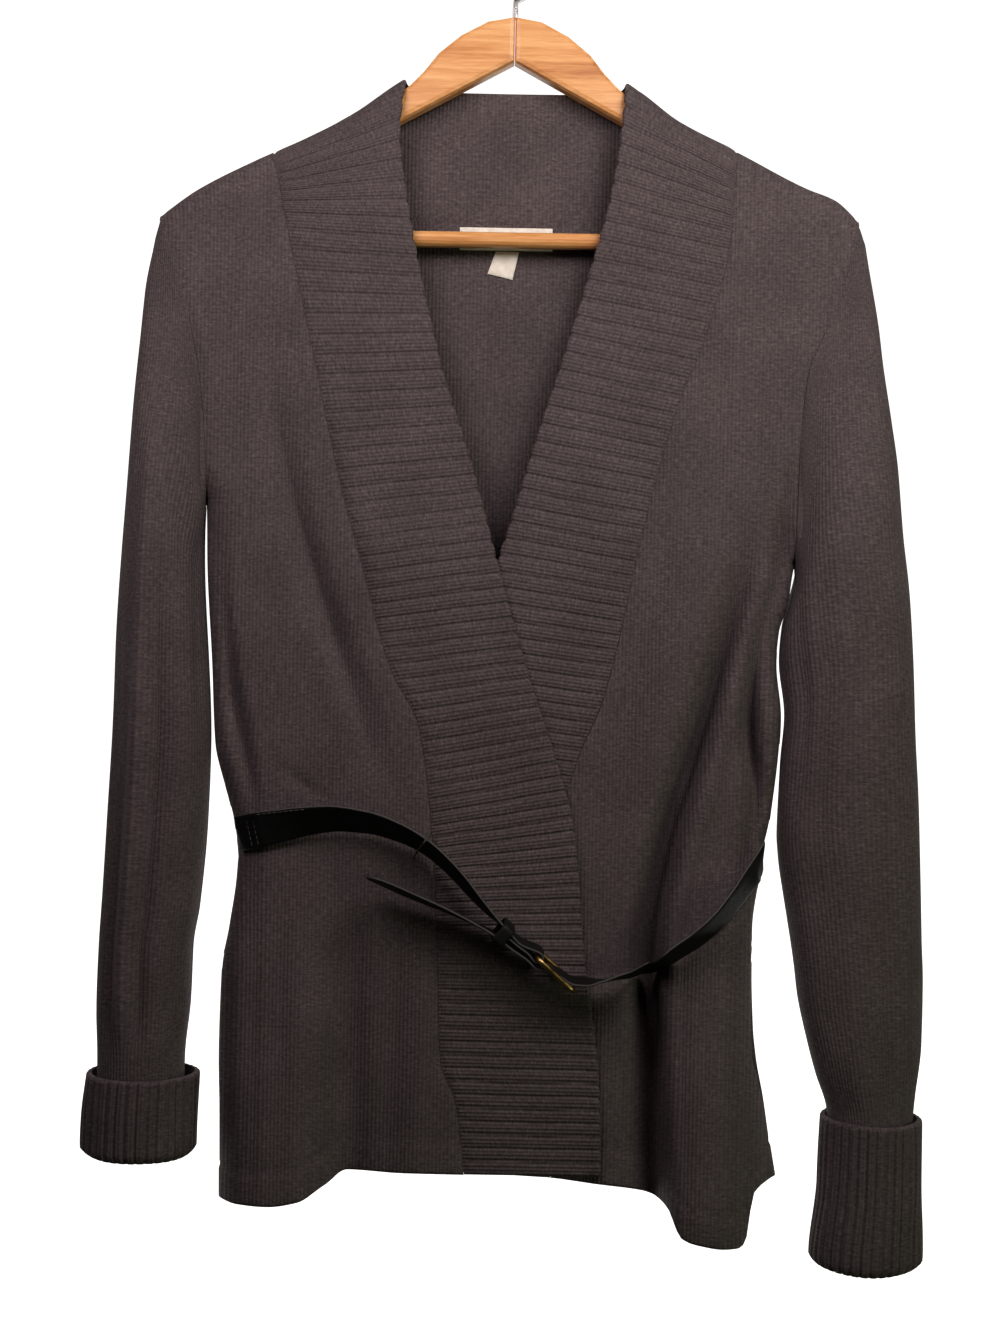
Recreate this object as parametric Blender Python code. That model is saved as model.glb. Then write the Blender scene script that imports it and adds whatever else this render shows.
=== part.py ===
"""A knitted wrap cardigan with its leather belt, hanging on a wooden hanger.

The outline tables are in millimetres as the garment shows in the plane of the hanger:
x runs to the viewer's right from the middle of the picture, z runs up. seen_at() carries
a point to its own depth along the line of sight. The finished part has its origin at the
inner top of the hook, with +Z up and the wearer's front facing -Y.
"""

import math
from collections import namedtuple

import bmesh
import bpy
import numpy as np
from mathutils import Matrix, Vector

MM = 0.001

# Where the garment is seen from, and where its own axes lie
VIEW_DISTANCE = 900.0
VIEW_X = -7.6
HANGER_X = -5.0
HOOK_TOP_Z = 465.0

# Cloth
WALL = 2.0
RIB_LOW = 1.8
RIB_HIGH = 3.0
RIB_START = 0.14
HALF_SEAM = 0.15
SLEEVE_GAP = 0.8
BAND_GAP = 1.0
LAP = 5.2
LAP_TOP_Z = 118.0
SIDE_TURN = 18.0
SHOULDER_TURN = 7.5
CREST_DROP = 3.0
SHOULDER_SLOPE = math.radians(30.0)

# Hanger
ARM_THICKNESS = 12.0
ARM_EDGE = 3.0
ROD_DIAMETER = 10.0
ROD_Z = 270.5
LUG_X = 193.0
HOOK_WIRE = 4.0
HOOK_RADIUS = 21.0

# Belt
STRAP_WIDTH = 22.0
STRAP_THICKNESS = 1.8
BUCKLE_WIRE = 3.4
BUCKLE_LENGTH = 32.0
BUCKLE_WIDTH = 29.0

# Body outline, as (height, position across)
SIDE_RIGHT = (
    (-340, -180), (-282, -181), (-247, -182), (-194, -181), (-168, -177), (-139, -173),
    (-123, -172), (-102, -174.6), (-78, -181), (-52, -187.5), (0, -190.5), (60, -194.5),
    (100, -195.7), (115, -204), (135, -222), (170, -236), (240, -240), (380, -240),
)
SIDE_LEFT = (
    (-320, 172.5), (-300, 169), (-268, 164), (-245, 159.5), (-223, 157), (-186, 155.6),
    (-160, 156), (-136, 159), (-126, 162), (-115, 161.5), (-92, 166), (-30, 171.5),
    (5, 168), (25, 169.5), (42, 174.5), (66, 178), (85, 188), (110, 212), (150, 236),
    (240, 240), (380, 240),
)
# Top of the shoulders, as (position across, height)
TOP = (
    (-228, 282), (-205, 299), (-168, 318), (-139, 331), (-104, 350), (-74, 371), (-60, 377),
    (-45, 392), (35, 392), (52, 377), (66, 371), (100, 347), (139, 328), (181, 307),
    (200, 299.5), (215, 286),
)
NECKLINE = (
    (-157, 322.5), (-149, 310), (-130, 297), (-100, 287), (-60, 282), (-5, 280.5), (55, 282),
    (90, 287), (118, 298), (130, 311), (137, 327.5),
)
HEM_FRONT = (
    (-180, -341), (-150, -346), (-131, -343), (-115, -332), (-99, -321), (-62, -323),
    (20, -323.6), (62, -328), (88, -331), (99, -335), (107, -343), (115, -362), (126, -366),
    (149, -367), (154, -358), (158, -332), (172.5, -319),
)
HEM_BACK = ((-180, -341), (-120, -319), (0, -317), (100, -317), (150, -322), (172.5, -319))

# Armholes, as (height, position across), from the underarm up to the shoulder tip
ARMHOLE_RIGHT = ((100, -195.7), (130, -197), (170, -200), (215, -208), (250, -218), (282, -228))
ARMHOLE_LEFT = ((66, 178), (95, 179.5), (150, 181), (190, 185), (220, 197), (250, 208), (286, 215))

# Front bands: free edge and seam edge as (height, position across), and the height on the
# seam edge that the rib starting at a height on the free edge runs to
BAND_RIGHT_FREE = (
    (-323, 62), (-261, 59.5), (-181, 49), (-102, 41), (-59, 29), (0, 9), (67, -10.6),
    (129, -28), (190, -48), (248, -62), (298, -72), (340, -77), (371, -74),
)
BAND_RIGHT_SEAM = (
    (-323, -25), (-280, -30), (-250, -41), (-160, -45), (-105, -49), (-40, -58), (0, -78),
    (60, -95), (120, -112), (200, -130), (280, -148), (324, -157),
)
BAND_RIGHT_SLANT = (
    (-323, -323), (-200, -200), (-150, -154), (-80, -96), (0, -12), (100, 88), (200, 196),
    (290, 290), (371, 324),
)
BAND_LEFT_FREE = (
    (-320, -62), (-190, -60), (-105, -52), (-20, -36), (68, -10), (97, -1), (139, 11),
    (200, 30), (248, 44), (298, 57), (340, 63.5), (371, 66),
)
BAND_LEFT_SEAM = (
    (-324, 30), (-200, 27), (-110, 30), (-60, 42), (-20, 58), (20, 68), (80, 80), (160, 100),
    (220, 122), (280, 135), (329, 137),
)
BAND_LEFT_SLANT = (
    (-320, -324), (-200, -204), (-100, -108), (0, -12), (100, 86), (200, 184), (300, 281),
    (371, 329),
)
# Height, rib pitch along the free edge
RIB_PITCH = ((-323, 8.3), (-100, 8.6), (0, 9.4), (100, 10.4), (200, 11.6), (300, 12.6), (371, 12.6))
# Share of the way round, position across, height: top edge of the collar behind the neck
COLLAR_FREE = (
    (0.0, -74, 371), (0.06, -71.5, 366.8), (0.14, -65, 364.2), (0.5, -4, 363.5),
    (0.86, 57, 364.2), (0.94, 63.5, 366.8), (1.0, 66, 371),
)
# Share of the way round, position across: seam edge of the same collar
COLLAR_SEAM = (
    (0.0, -155.6), (0.06, -147), (0.15, -128), (0.26, -100), (0.38, -60), (0.52, -5), (0.66, 50),
    (0.77, 88), (0.87, 115), (0.94, 128.5), (1.0, 135.6),
)
COLLAR_RIBS = 26
COLLAR_GAP = 1.25

# Depth of the plain inside of the cloth from the hanger's middle plane, by height
FRONT_DEPTH = ((-340, 24), (-250, 22), (-150, 19), (-50, 17), (50, 15), (150, 12), (250, 10.2), (330, 9.8))
BACK_DEPTH = ((-340, 17), (-100, 15), (100, 13), (200, 11.5), (270, 10.2), (330, 9.6), (370, 9.6))

# path is (height, position across); depths are towards the viewer on the fronts and away
# from the viewer on the back, at the fold's top, middle and bottom
Fold = namedtuple("Fold", "name path half_width top middle bottom")
FRONT_FOLDS = (
    Fold("chest crease", ((195, -161), (130, -148), (80, -135), (30, -118), (-15, -100), (-90, -73)), 11, 0, -6, 0),
    Fold("right side crease", ((20, -180), (-10, -178), (-40, -172), (-95, -162)), 6, 0, -6, -2),
    Fold("right skirt ridge", ((-110, -160), (-200, -154), (-345, -150)), 31, 0, 7, 15),
    Fold("right skirt trough", ((-120, -78), (-240, -84), (-345, -86)), 26, 0, -4, -9),
    Fold("left long trough", ((95, 152), (10, 133), (-65, 113), (-120, 98), (-180, 90), (-240, 90), (-345, 96)), 11, 0, -13, -14),
    Fold("left chest roll", ((110, 128), (20, 108), (-90, 84)), 20, 0, 5, 0),
    Fold("left side trough", ((35, 154), (-30, 152), (-80, 156), (-140, 149)), 8, 0, -12, 0),
    Fold("left side crease", ((140, 177), (80, 170), (5, 156)), 7, 0, -5, 0),
    Fold("left skirt ridge", ((-120, 126), (-240, 130), (-345, 132)), 25, 0, 13, 23),
    Fold("left skirt hollow", ((-190, 166), (-260, 168), (-345, 171)), 9, 0, -12, -18),
)
BACK_FOLDS = (
    Fold("right back fold", ((40, -118), (-150, -126), (-345, -134)), 26, 0, 5, 11),
    Fold("middle back fold", ((-40, -18), (-200, -8), (-345, 2)), 34, 0, 4, 10),
    Fold("left back fold", ((60, 104), (-150, 110), (-345, 116)), 25, 0, 5, 12),
    Fold("right shoulder blade", ((250, -110), (160, -120), (60, -128)), 34, 0, 3, 0),
    Fold("left shoulder blade", ((250, 100), (160, 106), (60, 112)), 34, 0, 3, 0),
)

# One row a section: heights at the outer and the underarm side, half depth, sway in depth
Section = namedtuple("Section", "outer_z inner_z half_depth sway")
SLEEVE_RIGHT_OUTER = (
    (-330, -257), (-250, -258), (-223, -259), (-181, -258.5), (-144, -256.6), (-102, -254),
    (-44, -251), (34, -248), (86, -245.5), (150, -242), (200, -239), (235, -237), (264, -232),
    (282, -228),
)
SLEEVE_RIGHT_INNER = (
    (-330, -203), (-254, -204), (-216, -201), (-181, -200), (-155, -196), (-102, -192),
    (-52, -190), (0, -192.5), (60, -196.8), (100, -197.2),
)
SLEEVE_RIGHT = (
    Section(282, 100, 9, 0), Section(262, 91, 15, 0), Section(236, 80, 21, 0),
    Section(202, 66, 25, -1), Section(160, 48, 28, -2), Section(116, 28, 29, -3),
    Section(70, 4, 30, -4), Section(24, -26, 30, -4), Section(-22, -56, 29, -3),
    Section(-64, -86, 28, -2), Section(-104, -116, 27, -1), Section(-144, -150, 26, 0),
    Section(-184, -186, 25, 1), Section(-224, -224, 23, 1), Section(-258, -258, 22, 0),
    Section(-310.2, -310.2, 21.5, 0),
)
SLEEVE_LEFT_OUTER = (
    (-390, 257), (-300, 257.5), (-268, 259.3), (-234, 262.7), (-194, 263.5), (-168, 262.4),
    (-115, 260), (-75, 258), (-36, 255), (12, 252), (52, 249), (86, 245), (131, 241),
    (158, 237), (195, 231.5), (221, 227.5), (256, 221), (272, 218), (286, 215),
)
SLEEVE_LEFT_INNER = (
    (-390, 207.5), (-300, 206.5), (-278, 204.8), (-255, 197.5), (-229, 190.5), (-205, 185),
    (-186, 182.5), (-144, 176), (-118, 172), (-102, 170.5), (-60, 173), (-30, 175),
    (5, 171), (25, 172.5), (42, 178), (55, 180.6), (66, 179.8),
)
SLEEVE_LEFT = (
    Section(286, 66, 9, 0), Section(268, 60, 15, 0), Section(242, 50, 21, 0),
    Section(206, 36, 25, 0), Section(160, 16, 28, -1), Section(112, -6, 30, -2),
    Section(62, -30, 30, -3), Section(12, -58, 29, -3), Section(-38, -88, 28, -2),
    Section(-84, -118, 27, -1), Section(-128, -148, 26, 0), Section(-170, -180, 25, 0),
    Section(-212, -215, 24, 0), Section(-250, -250, 22.5, 0), Section(-279, -279, 20.5, 0),
    Section(-330, -330, 20.5, 0), Section(-368, -368, 20.5, 0),
)
# Rings over which a sleeve leaves the armhole's shape for an oval
CAP_RINGS = 4.0

# Cuff sections, from the turned edge up: height, outer side, inner side, half depth
CuffSection = namedtuple("CuffSection", "z outer inner half_depth")
CUFF_RIGHT = (
    CuffSection(-312.5, -262, -199, 24.5), CuffSection(-307, -268, -194.6, 27.5),
    CuffSection(-285, -267.5, -194.4, 27.5), CuffSection(-260.5, -265.5, -194.2, 27),
)
CUFF_LEFT = (
    CuffSection(-374.5, 260, 199, 25), CuffSection(-369, 266, 194.5, 28),
    CuffSection(-325, 265, 199.5, 27.5), CuffSection(-281, 264.8, 201, 26.5),
)
CUFF_RIBS = 34
CUFF_LOW = 2.2
CUFF_HIGH = 3.2

# Grid fractions across the panels, from the side seam to the band, and up the armhole
ACROSS_RIGHT = (0, 0.012, 0.045, 0.10, 0.17, 0.25, 0.34, 0.44, 0.55, 0.67, 0.79, 0.90, 1)
ACROSS_LEFT = (0, 0.012, 0.045, 0.09, 0.125, 0.16, 0.22, 0.30, 0.38, 0.45, 0.51, 0.57, 0.65, 0.76, 0.88, 1)
ACROSS_BACK = (
    0, 0.008, 0.03, 0.07, 0.115, 0.16, 0.167, 0.18, 0.205, 0.28, 0.39, 0.5, 0.61, 0.71, 0.78,
    0.804, 0.817, 0.824, 0.88, 0.93, 0.97, 0.992, 1,
)
UP_ARMHOLE = (0, 0.16, 0.32, 0.48, 0.64, 0.78, 0.88, 0.945, 0.975, 0.9925, 1)
UP_BODY = (0, 0.05, 0.12, 0.2, 0.28, 0.36, 0.44, 0.52, 0.6, 0.69, 0.78, 0.89, 1)
ACROSS_BAND = (0, 0.33, 0.67, 1)

# Belt stations: position across, height, and how far the strap's upper edge has leant out
Station = namedtuple("Station", "x z turn")
STRAP_RIGHT = (
    Station(-172, -109, 0), Station(-170, -108.6, 0), Station(-167, -108, 0),
    Station(-163, -107, 3), Station(-158, -106, 8), Station(-152, -104.8, 14),
    Station(-145, -103.5, 20), Station(-130, -100.5, 31), Station(-110, -98.5, 40),
    Station(-90, -100.5, 47), Station(-70, -106.5, 54), Station(-55, -114, 60),
    Station(-42, -124, 64), Station(-30, -136, 67), Station(-20, -147.5, 71),
    Station(-10, -158, 77), Station(0, -167, 85), Station(9, -174.6, 90),
)
STRAP_LEFT = (
    Station(161, -121, 40), Station(158, -126, 44), Station(154, -132, 48), Station(145, -145, 52),
    Station(133, -160, 53), Station(120, -171.5, 54), Station(105, -182, 57),
    Station(90, -189.5, 62), Station(75, -195, 70), Station(60, -198.6, 80),
    Station(50, -199.4, 90),
)
TAIL = (
    Station(4, -178.2, 90), Station(-8, -170, 89), Station(-20, -164, 86),
    Station(-40, -155, 82), Station(-60, -147, 80), Station(-78, -139.5, 79), Station(-90, -135, 79),
)
BELT_MIDDLE_Y = -45.5
BELT_CLEARANCE = 1.8
SEWN_CLEARANCE = 0.5
SEWN_LENGTH = 14.0
FREE_TURN = 55.0
CARRIER_X = -55.0
CARRIER_THREAD = 1.4
BUCKLE_UPPER = (19.5, -182.5)
BUCKLE_LOWER = (41.5, -202.0)

# Hanger arm, as (distance from the middle, height), round its outline
ARM_OUTLINE = (
    (0.15, 382.5), (70, 344.5), (150, 301), (184, 282.5), (193.3, 276), (193.3, 263),
    (199, 260), (208, 262), (213, 267), (213.5, 272), (210, 278), (199, 288), (186, 295.5),
    (163, 309.2), (134, 323.4), (105, 338.9), (85, 351.8), (74, 359.8), (65, 367.7),
    (57, 376), (48, 387.5), (34, 399), (17, 408), (0.15, 411),
)


def curve(table):
    """A smooth function through the table's (position, value) rows, with no overshoot."""
    rows = sorted((float(row[0]), float(row[1])) for row in table)
    at = np.array([row[0] for row in rows])
    value = np.array([row[1] for row in rows])
    step = np.diff(at)
    rise = np.diff(value) / step
    slope = np.zeros(len(at))
    slope[0], slope[-1] = rise[0], rise[-1]
    for i in range(1, len(at) - 1):
        if rise[i - 1] * rise[i] > 0:
            slope[i] = 2 * rise[i - 1] * rise[i] / (rise[i - 1] + rise[i])

    def through(position):
        position = np.clip(np.asarray(position, float), at[0], at[-1])
        i = np.clip(np.searchsorted(at, position, side="right") - 1, 0, len(step) - 1)
        t = (position - at[i]) / step[i]
        return (
            value[i] * (1 + 2 * t) * (1 - t) ** 2
            + value[i + 1] * t * t * (3 - 2 * t)
            + step[i] * t * (1 - t) * (slope[i] * (1 - t) - slope[i + 1] * t)
        )

    return through


def ramp(t):
    """0 below 0, 1 above 1, and smooth between."""
    t = np.clip(t, 0, 1)
    return t * t * (3 - 2 * t)


def mix(a, b, t):
    return a * (1 - t) + b * t


side_right = curve(SIDE_RIGHT)
side_left = curve(SIDE_LEFT)
top_of = curve(TOP)
front_depth = curve(FRONT_DEPTH)
back_depth = curve(BACK_DEPTH)


def fold_function(fold):
    centre = curve(fold.path)
    highest, lowest = fold.path[0][0], fold.path[-1][0]
    depth = curve(((0, fold.top), (0.5, fold.middle), (1, fold.bottom)))

    def at(x, z):
        along = (highest - z) / (highest - lowest)
        beyond = np.where((along < 0) & (fold.top == 0), 0, 1) * np.where((along > 1) & (fold.bottom == 0), 0, 1)
        return beyond * depth(along) * np.exp(-np.abs((x - centre(z)) / fold.half_width) ** 3)

    return at


front_folds = [fold_function(fold) for fold in FRONT_FOLDS]
back_folds = [fold_function(fold) for fold in BACK_FOLDS]


def turned(distance, radius):
    """Quarter-round share of the full depth at a distance in from an edge."""
    t = np.clip(distance / radius, 0, 1)
    return np.sqrt(np.clip(1 - (1 - t) ** 2, 0, 1))


def inside_y(x, z, layer):
    """Depth of the plain inside of a layer: "outer" or "inner" front, or "back"."""
    if layer == "back":
        depth = back_depth(z) + sum(fold(x, z) for fold in back_folds)
    else:
        depth = front_depth(z) + sum(fold(x, z) for fold in front_folds)
    if layer == "outer":
        depth = depth + LAP * ramp((LAP_TOP_Z - z) / 50) * ramp((x + 135) / 60)
    edge = turned(x - side_right(z) - WALL, SIDE_TURN) * turned(side_left(z) - WALL - x, SIDE_TURN)
    crest = turned((top_of(x) - CREST_DROP - z) * math.cos(SHOULDER_SLOPE), SHOULDER_TURN)
    y = HALF_SEAM + (depth - HALF_SEAM) * edge * crest
    return y if layer == "back" else -y


def outward(x, z, layer):
    """Unit normals of a layer, pointing out of the garment."""
    h = 0.02
    across = (inside_y(x + h, z, layer) - inside_y(x - h, z, layer)) / (2 * h)
    up = (inside_y(x, z + h, layer) - inside_y(x, z - h, layer)) / (2 * h)
    sign = -1 if layer == "back" else 1
    normal = np.stack([sign * across, -sign * np.ones_like(across), sign * up], axis=-1)
    return normal / np.linalg.norm(normal, axis=-1, keepdims=True)


def to_frame(points):
    """From the picture's middle to the part's own origin, still in millimetres."""
    return points - np.array([HANGER_X, 0, HOOK_TOP_Z])


def seen_at(points):
    """Each point moved along its line of sight to its own depth, in the part's frame."""
    moved = points.copy()
    reach = (VIEW_DISTANCE + points[..., 1]) / VIEW_DISTANCE
    moved[..., 0] = VIEW_X + (points[..., 0] - VIEW_X) * reach
    moved[..., 2] = points[..., 2] * reach
    return to_frame(moved)


def on_layer(x, z, layer, height):
    """Points standing a height above the inside of a layer."""
    base = np.stack([x, inside_y(x, z, layer), z], axis=-1)
    return seen_at(base + outward(x, z, layer) * np.asarray(height)[..., None])


def new_material(name, colour, roughness, metallic=0.0):
    material = bpy.data.materials.new(name)
    material.use_nodes = True
    shader = material.node_tree.nodes["Principled BSDF"]
    shader.inputs["Base Color"].default_value = (*colour, 1)
    shader.inputs["Roughness"].default_value = roughness
    shader.inputs["Metallic"].default_value = metallic
    material.diffuse_color = (*colour, 1)
    return material


def finish(name, mesh, material, smooth_angle=40):
    mesh.shade_smooth()
    mesh.set_sharp_from_angle(angle=math.radians(smooth_angle))
    mesh.materials.append(material)
    part = bpy.data.objects.new(name, mesh)
    garment.objects.link(part)
    return part


def wall(name, inner, outer, material, closed=False, inner_at=None):
    """A wall between two grids in millimetres. inner_at gives the outer row over each inner
    row, where the outer grid has more of them; closed joins the last row to the first."""
    above = list(range(len(inner)) if inner_at is None else inner_at)
    if closed:
        above.append(len(outer))
    bm = bmesh.new()
    inside = [[bm.verts.new(Vector(p) * MM) for p in row] for row in inner]
    outside = [[bm.verts.new(Vector(p) * MM) for p in row] for row in outer]
    last = len(inner[0]) - 1
    for grid in (inside, outside):
        for i in range(len(grid) if closed else len(grid) - 1):
            row, following = grid[i], grid[(i + 1) % len(grid)]
            for j in range(last):
                bm.faces.new((row[j], row[j + 1], following[j + 1], following[j]))
    for i, (start, end) in enumerate(zip(above[:-1], above[1:])):
        for j in (0, last):
            rim = [outside[k % len(outside)][j] for k in range(start, end + 1)]
            bm.faces.new(rim + [inside[(i + 1) % len(inside)][j], inside[i][j]])
    if not closed:
        for row_in, row_out in ((inside[0], outside[0]), (inside[-1], outside[-1])):
            for j in range(last):
                bm.faces.new((row_in[j], row_in[j + 1], row_out[j + 1], row_out[j]))
    bmesh.ops.recalc_face_normals(bm, faces=bm.faces)
    mesh = bpy.data.meshes.new(name)
    bm.to_mesh(mesh)
    bm.free()
    return finish(name, mesh, material)


def ribbed_steps(edges, closed=False, fine_ends=()):
    """Positions and raised shares of the outer rows of ribs that lie between the given
    edges, and which of them the inner wall has too: all of them in the ribs of fine_ends."""
    positions, raised, inner_at = [], [], []
    fine_ribs = [rib % (len(edges) - 1) for rib in fine_ends]
    for rib, (start, end) in enumerate(zip(edges[:-1], edges[1:])):
        shares = (0, RIB_START, 1 - RIB_START)
        if rib in fine_ribs:
            shares = (0, RIB_START, 0.35, 0.65, 1 - RIB_START)
        inner_at += range(len(positions), len(positions) + (len(shares) if rib in fine_ribs else 1))
        positions += [mix(start, end, share) for share in shares]
        raised += [0] + [1] * (len(shares) - 1)
    if not closed:
        inner_at.append(len(positions))
        positions.append(edges[-1])
        raised.append(0)
    return np.array(positions), np.array(raised, float), inner_at


def panel_rows(side_x, seam_x, armhole, hem, seam_top, shoulder, up_body):
    """Positions across and heights of a panel's rows, from the hem to the shoulder."""
    arm_x = curve(armhole)
    underarm, tip = armhole[0][0], armhole[-1][0]
    rows = []
    for q in up_body[:-1]:
        side_z, seam_z = mix(hem(side_x(-330)), underarm, q), mix(hem(seam_x(-323)), underarm, q)
        rows.append((side_x(side_z), seam_x(seam_z), hem, underarm, q, q))
    for s in UP_ARMHOLE:
        side_z, seam_z = mix(underarm, tip, s), mix(underarm, seam_top, s)
        x0, x1 = arm_x(side_z), seam_x(seam_z)
        share0 = (side_z - underarm) / (shoulder(x0) - underarm)
        share1 = (seam_z - underarm) / (shoulder(x1) - underarm)
        if s == 1:
            share0 = share1 = 1.0
        rows.append((x0, x1, lambda x, low=underarm: low, shoulder, share0, share1))
    return rows


def panel_grid(rows, across):
    across = np.array(across)
    xs, zs = [], []
    for x0, x1, low, high, share0, share1 in rows:
        x = mix(x0, x1, across)
        bottom = low(x) if callable(low) else low
        top = high(x) if callable(high) else high
        xs.append(x)
        zs.append(mix(bottom, top, mix(share0, share1, across)))
    return np.array(xs, float), np.array(zs, float)


def cloth_panel(name, x, z, layer, material):
    inner = on_layer(x, z, layer, np.zeros_like(x))
    outer = on_layer(x, z, layer, np.full_like(x, WALL))
    return wall(name, inner, outer, material)


def inset_shoulder(x):
    return top_of(x) - CREST_DROP


def make_fronts(material):
    """The two plain fronts. Returns the (heights, positions) of the seams of their bands."""
    hem = curve(HEM_FRONT)
    seam = curve(BAND_RIGHT_SEAM)
    rows = panel_rows(
        lambda z: side_right(z) + WALL, lambda z: seam(z) - HALF_SEAM, ARMHOLE_RIGHT, hem, 324,
        inset_shoulder, UP_BODY,
    )
    x, z = panel_grid(rows, ACROSS_RIGHT)
    cloth_panel("front_right", x, z, "outer", material)
    right_seam = (z[:, -1], x[:, -1])
    inner_seam = curve(BAND_LEFT_SEAM)
    rows = panel_rows(
        lambda z: side_left(z) - WALL, lambda z: inner_seam(z) + HALF_SEAM, ARMHOLE_LEFT, hem, 329,
        inset_shoulder, UP_BODY,
    )
    x, z = panel_grid(rows, ACROSS_LEFT)
    cloth_panel("front_left", x, z, "inner", material)
    return right_seam, (z[:, -1], x[:, -1])


def make_back(material):
    """The back, side to side, with the neckline cut out. Returns its upper edge."""
    neckline = curve(NECKLINE)
    hem = curve(HEM_BACK)
    right_arm, left_arm = curve(ARMHOLE_RIGHT), curve(ARMHOLE_LEFT)
    across = np.array(ACROSS_BACK)

    def upper_edge(x):
        inside = (x > NECKLINE[0][0] + 0.5) & (x < NECKLINE[-1][0] - 0.5)
        return np.where(inside, neckline(x), inset_shoulder(x))

    xs, zs = [], []
    underarm0, underarm1 = ARMHOLE_RIGHT[0][0], ARMHOLE_LEFT[0][0]
    tip0, tip1 = ARMHOLE_RIGHT[-1][0], ARMHOLE_LEFT[-1][0]
    for q in UP_BODY[:-1]:
        x0 = side_right(mix(hem(-180), underarm0, q)) + WALL
        x1 = side_left(mix(hem(172.5), underarm1, q)) - WALL
        x = mix(x0, x1, across)
        xs.append(x)
        zs.append(mix(hem(x), mix(underarm0, underarm1, across), q))
    for s in UP_ARMHOLE:
        z0, z1 = mix(underarm0, tip0, s), mix(underarm1, tip1, s)
        x0, x1 = right_arm(z0), left_arm(z1)
        x = mix(x0, x1, across)
        low = mix(underarm0, underarm1, across)
        share0 = 1.0 if s == 1 else (z0 - underarm0) / (inset_shoulder(x0) - underarm0)
        share1 = 1.0 if s == 1 else (z1 - underarm1) / (inset_shoulder(x1) - underarm1)
        xs.append(x)
        zs.append(mix(low, upper_edge(x), mix(share0, share1, across)))
    cloth_panel("back", np.array(xs), np.array(zs), "back", material)
    return xs[-1], zs[-1]


def rib_edges(lowest, highest):
    """Heights on the free edge where one rib ends and the next begins."""
    pitch = curve(RIB_PITCH)
    edges = [lowest]
    while edges[-1] < highest:
        edges.append(edges[-1] + float(pitch(edges[-1])))
    share = (highest - lowest) / (edges[-1] - lowest)
    return lowest + (np.array(edges) - lowest) * share


def ribbed_band(name, seam_at, free_at, edges, layer, crest_rows, crest_length, material):
    """A ribbed strip between two rails. The rows listed in crest_rows lie on the shoulders'
    crest, and the rows within crest_length of them bow to meet it."""
    across = np.array(ACROSS_BAND)
    fine_ends = [end for row in crest_rows for end in ((0, 1) if row == 0 else (-2, -1))]
    positions, raised, inner_at = ribbed_steps(edges, fine_ends=fine_ends)
    seam_x, seam_z = seam_at(positions)
    free_x, free_z = free_at(positions)
    x = mix(seam_x[:, None], free_x[:, None], across)
    z = mix(seam_z[:, None], free_z[:, None], across)
    for row in crest_rows:
        near = ramp(1 - np.abs(positions - positions[row]) / crest_length)
        z = z + near[:, None] * (inset_shoulder(x[row]) - z[row])
    height = np.broadcast_to(mix(RIB_LOW, RIB_HIGH, raised)[:, None], x.shape)
    inner = on_layer(x[inner_at], z[inner_at], layer, np.zeros_like(x[inner_at]))
    return wall(name, inner, on_layer(x, z, layer, height), material, inner_at=inner_at)


def make_band(name, free, slant, layer, seam, seam_shift, material):
    free_x, seam_height = curve(free), curve(slant)
    edges = rib_edges(free[0][0], free[-1][0])

    def free_at(z):
        x = free_x(z)
        return x, np.minimum(z, inset_shoulder(x))

    def seam_at(z):
        height = np.clip(seam_height(z), seam[0][0], seam[0][-1])
        return np.interp(height, *seam) + seam_shift, height

    ribbed_band(name, seam_at, free_at, edges, layer, (-1,), 60, material)


def make_collar(upper_edge, material):
    """The ribbed collar behind the neck, from one shoulder to the other."""
    seam_x = curve(COLLAR_SEAM)
    free_x, free_z = curve([row[:2] for row in COLLAR_FREE]), curve([row[::2] for row in COLLAR_FREE])

    def seam_at(t):
        x = seam_x(t)
        slope = (np.interp(x + 1, *upper_edge) - np.interp(x - 1, *upper_edge)) / 2
        rise = COLLAR_GAP * np.sqrt(1 + slope * slope)
        return x, np.minimum(np.interp(x, *upper_edge) + rise, inset_shoulder(x))

    def free_at(t):
        x = free_x(t)
        return x, np.minimum(free_z(t), inset_shoulder(x))

    edges = np.linspace(0, 1, COLLAR_RIBS + 1)
    ribbed_band("collar_back", seam_at, free_at, edges, "back", (0, -1), 0.2, material)


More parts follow.
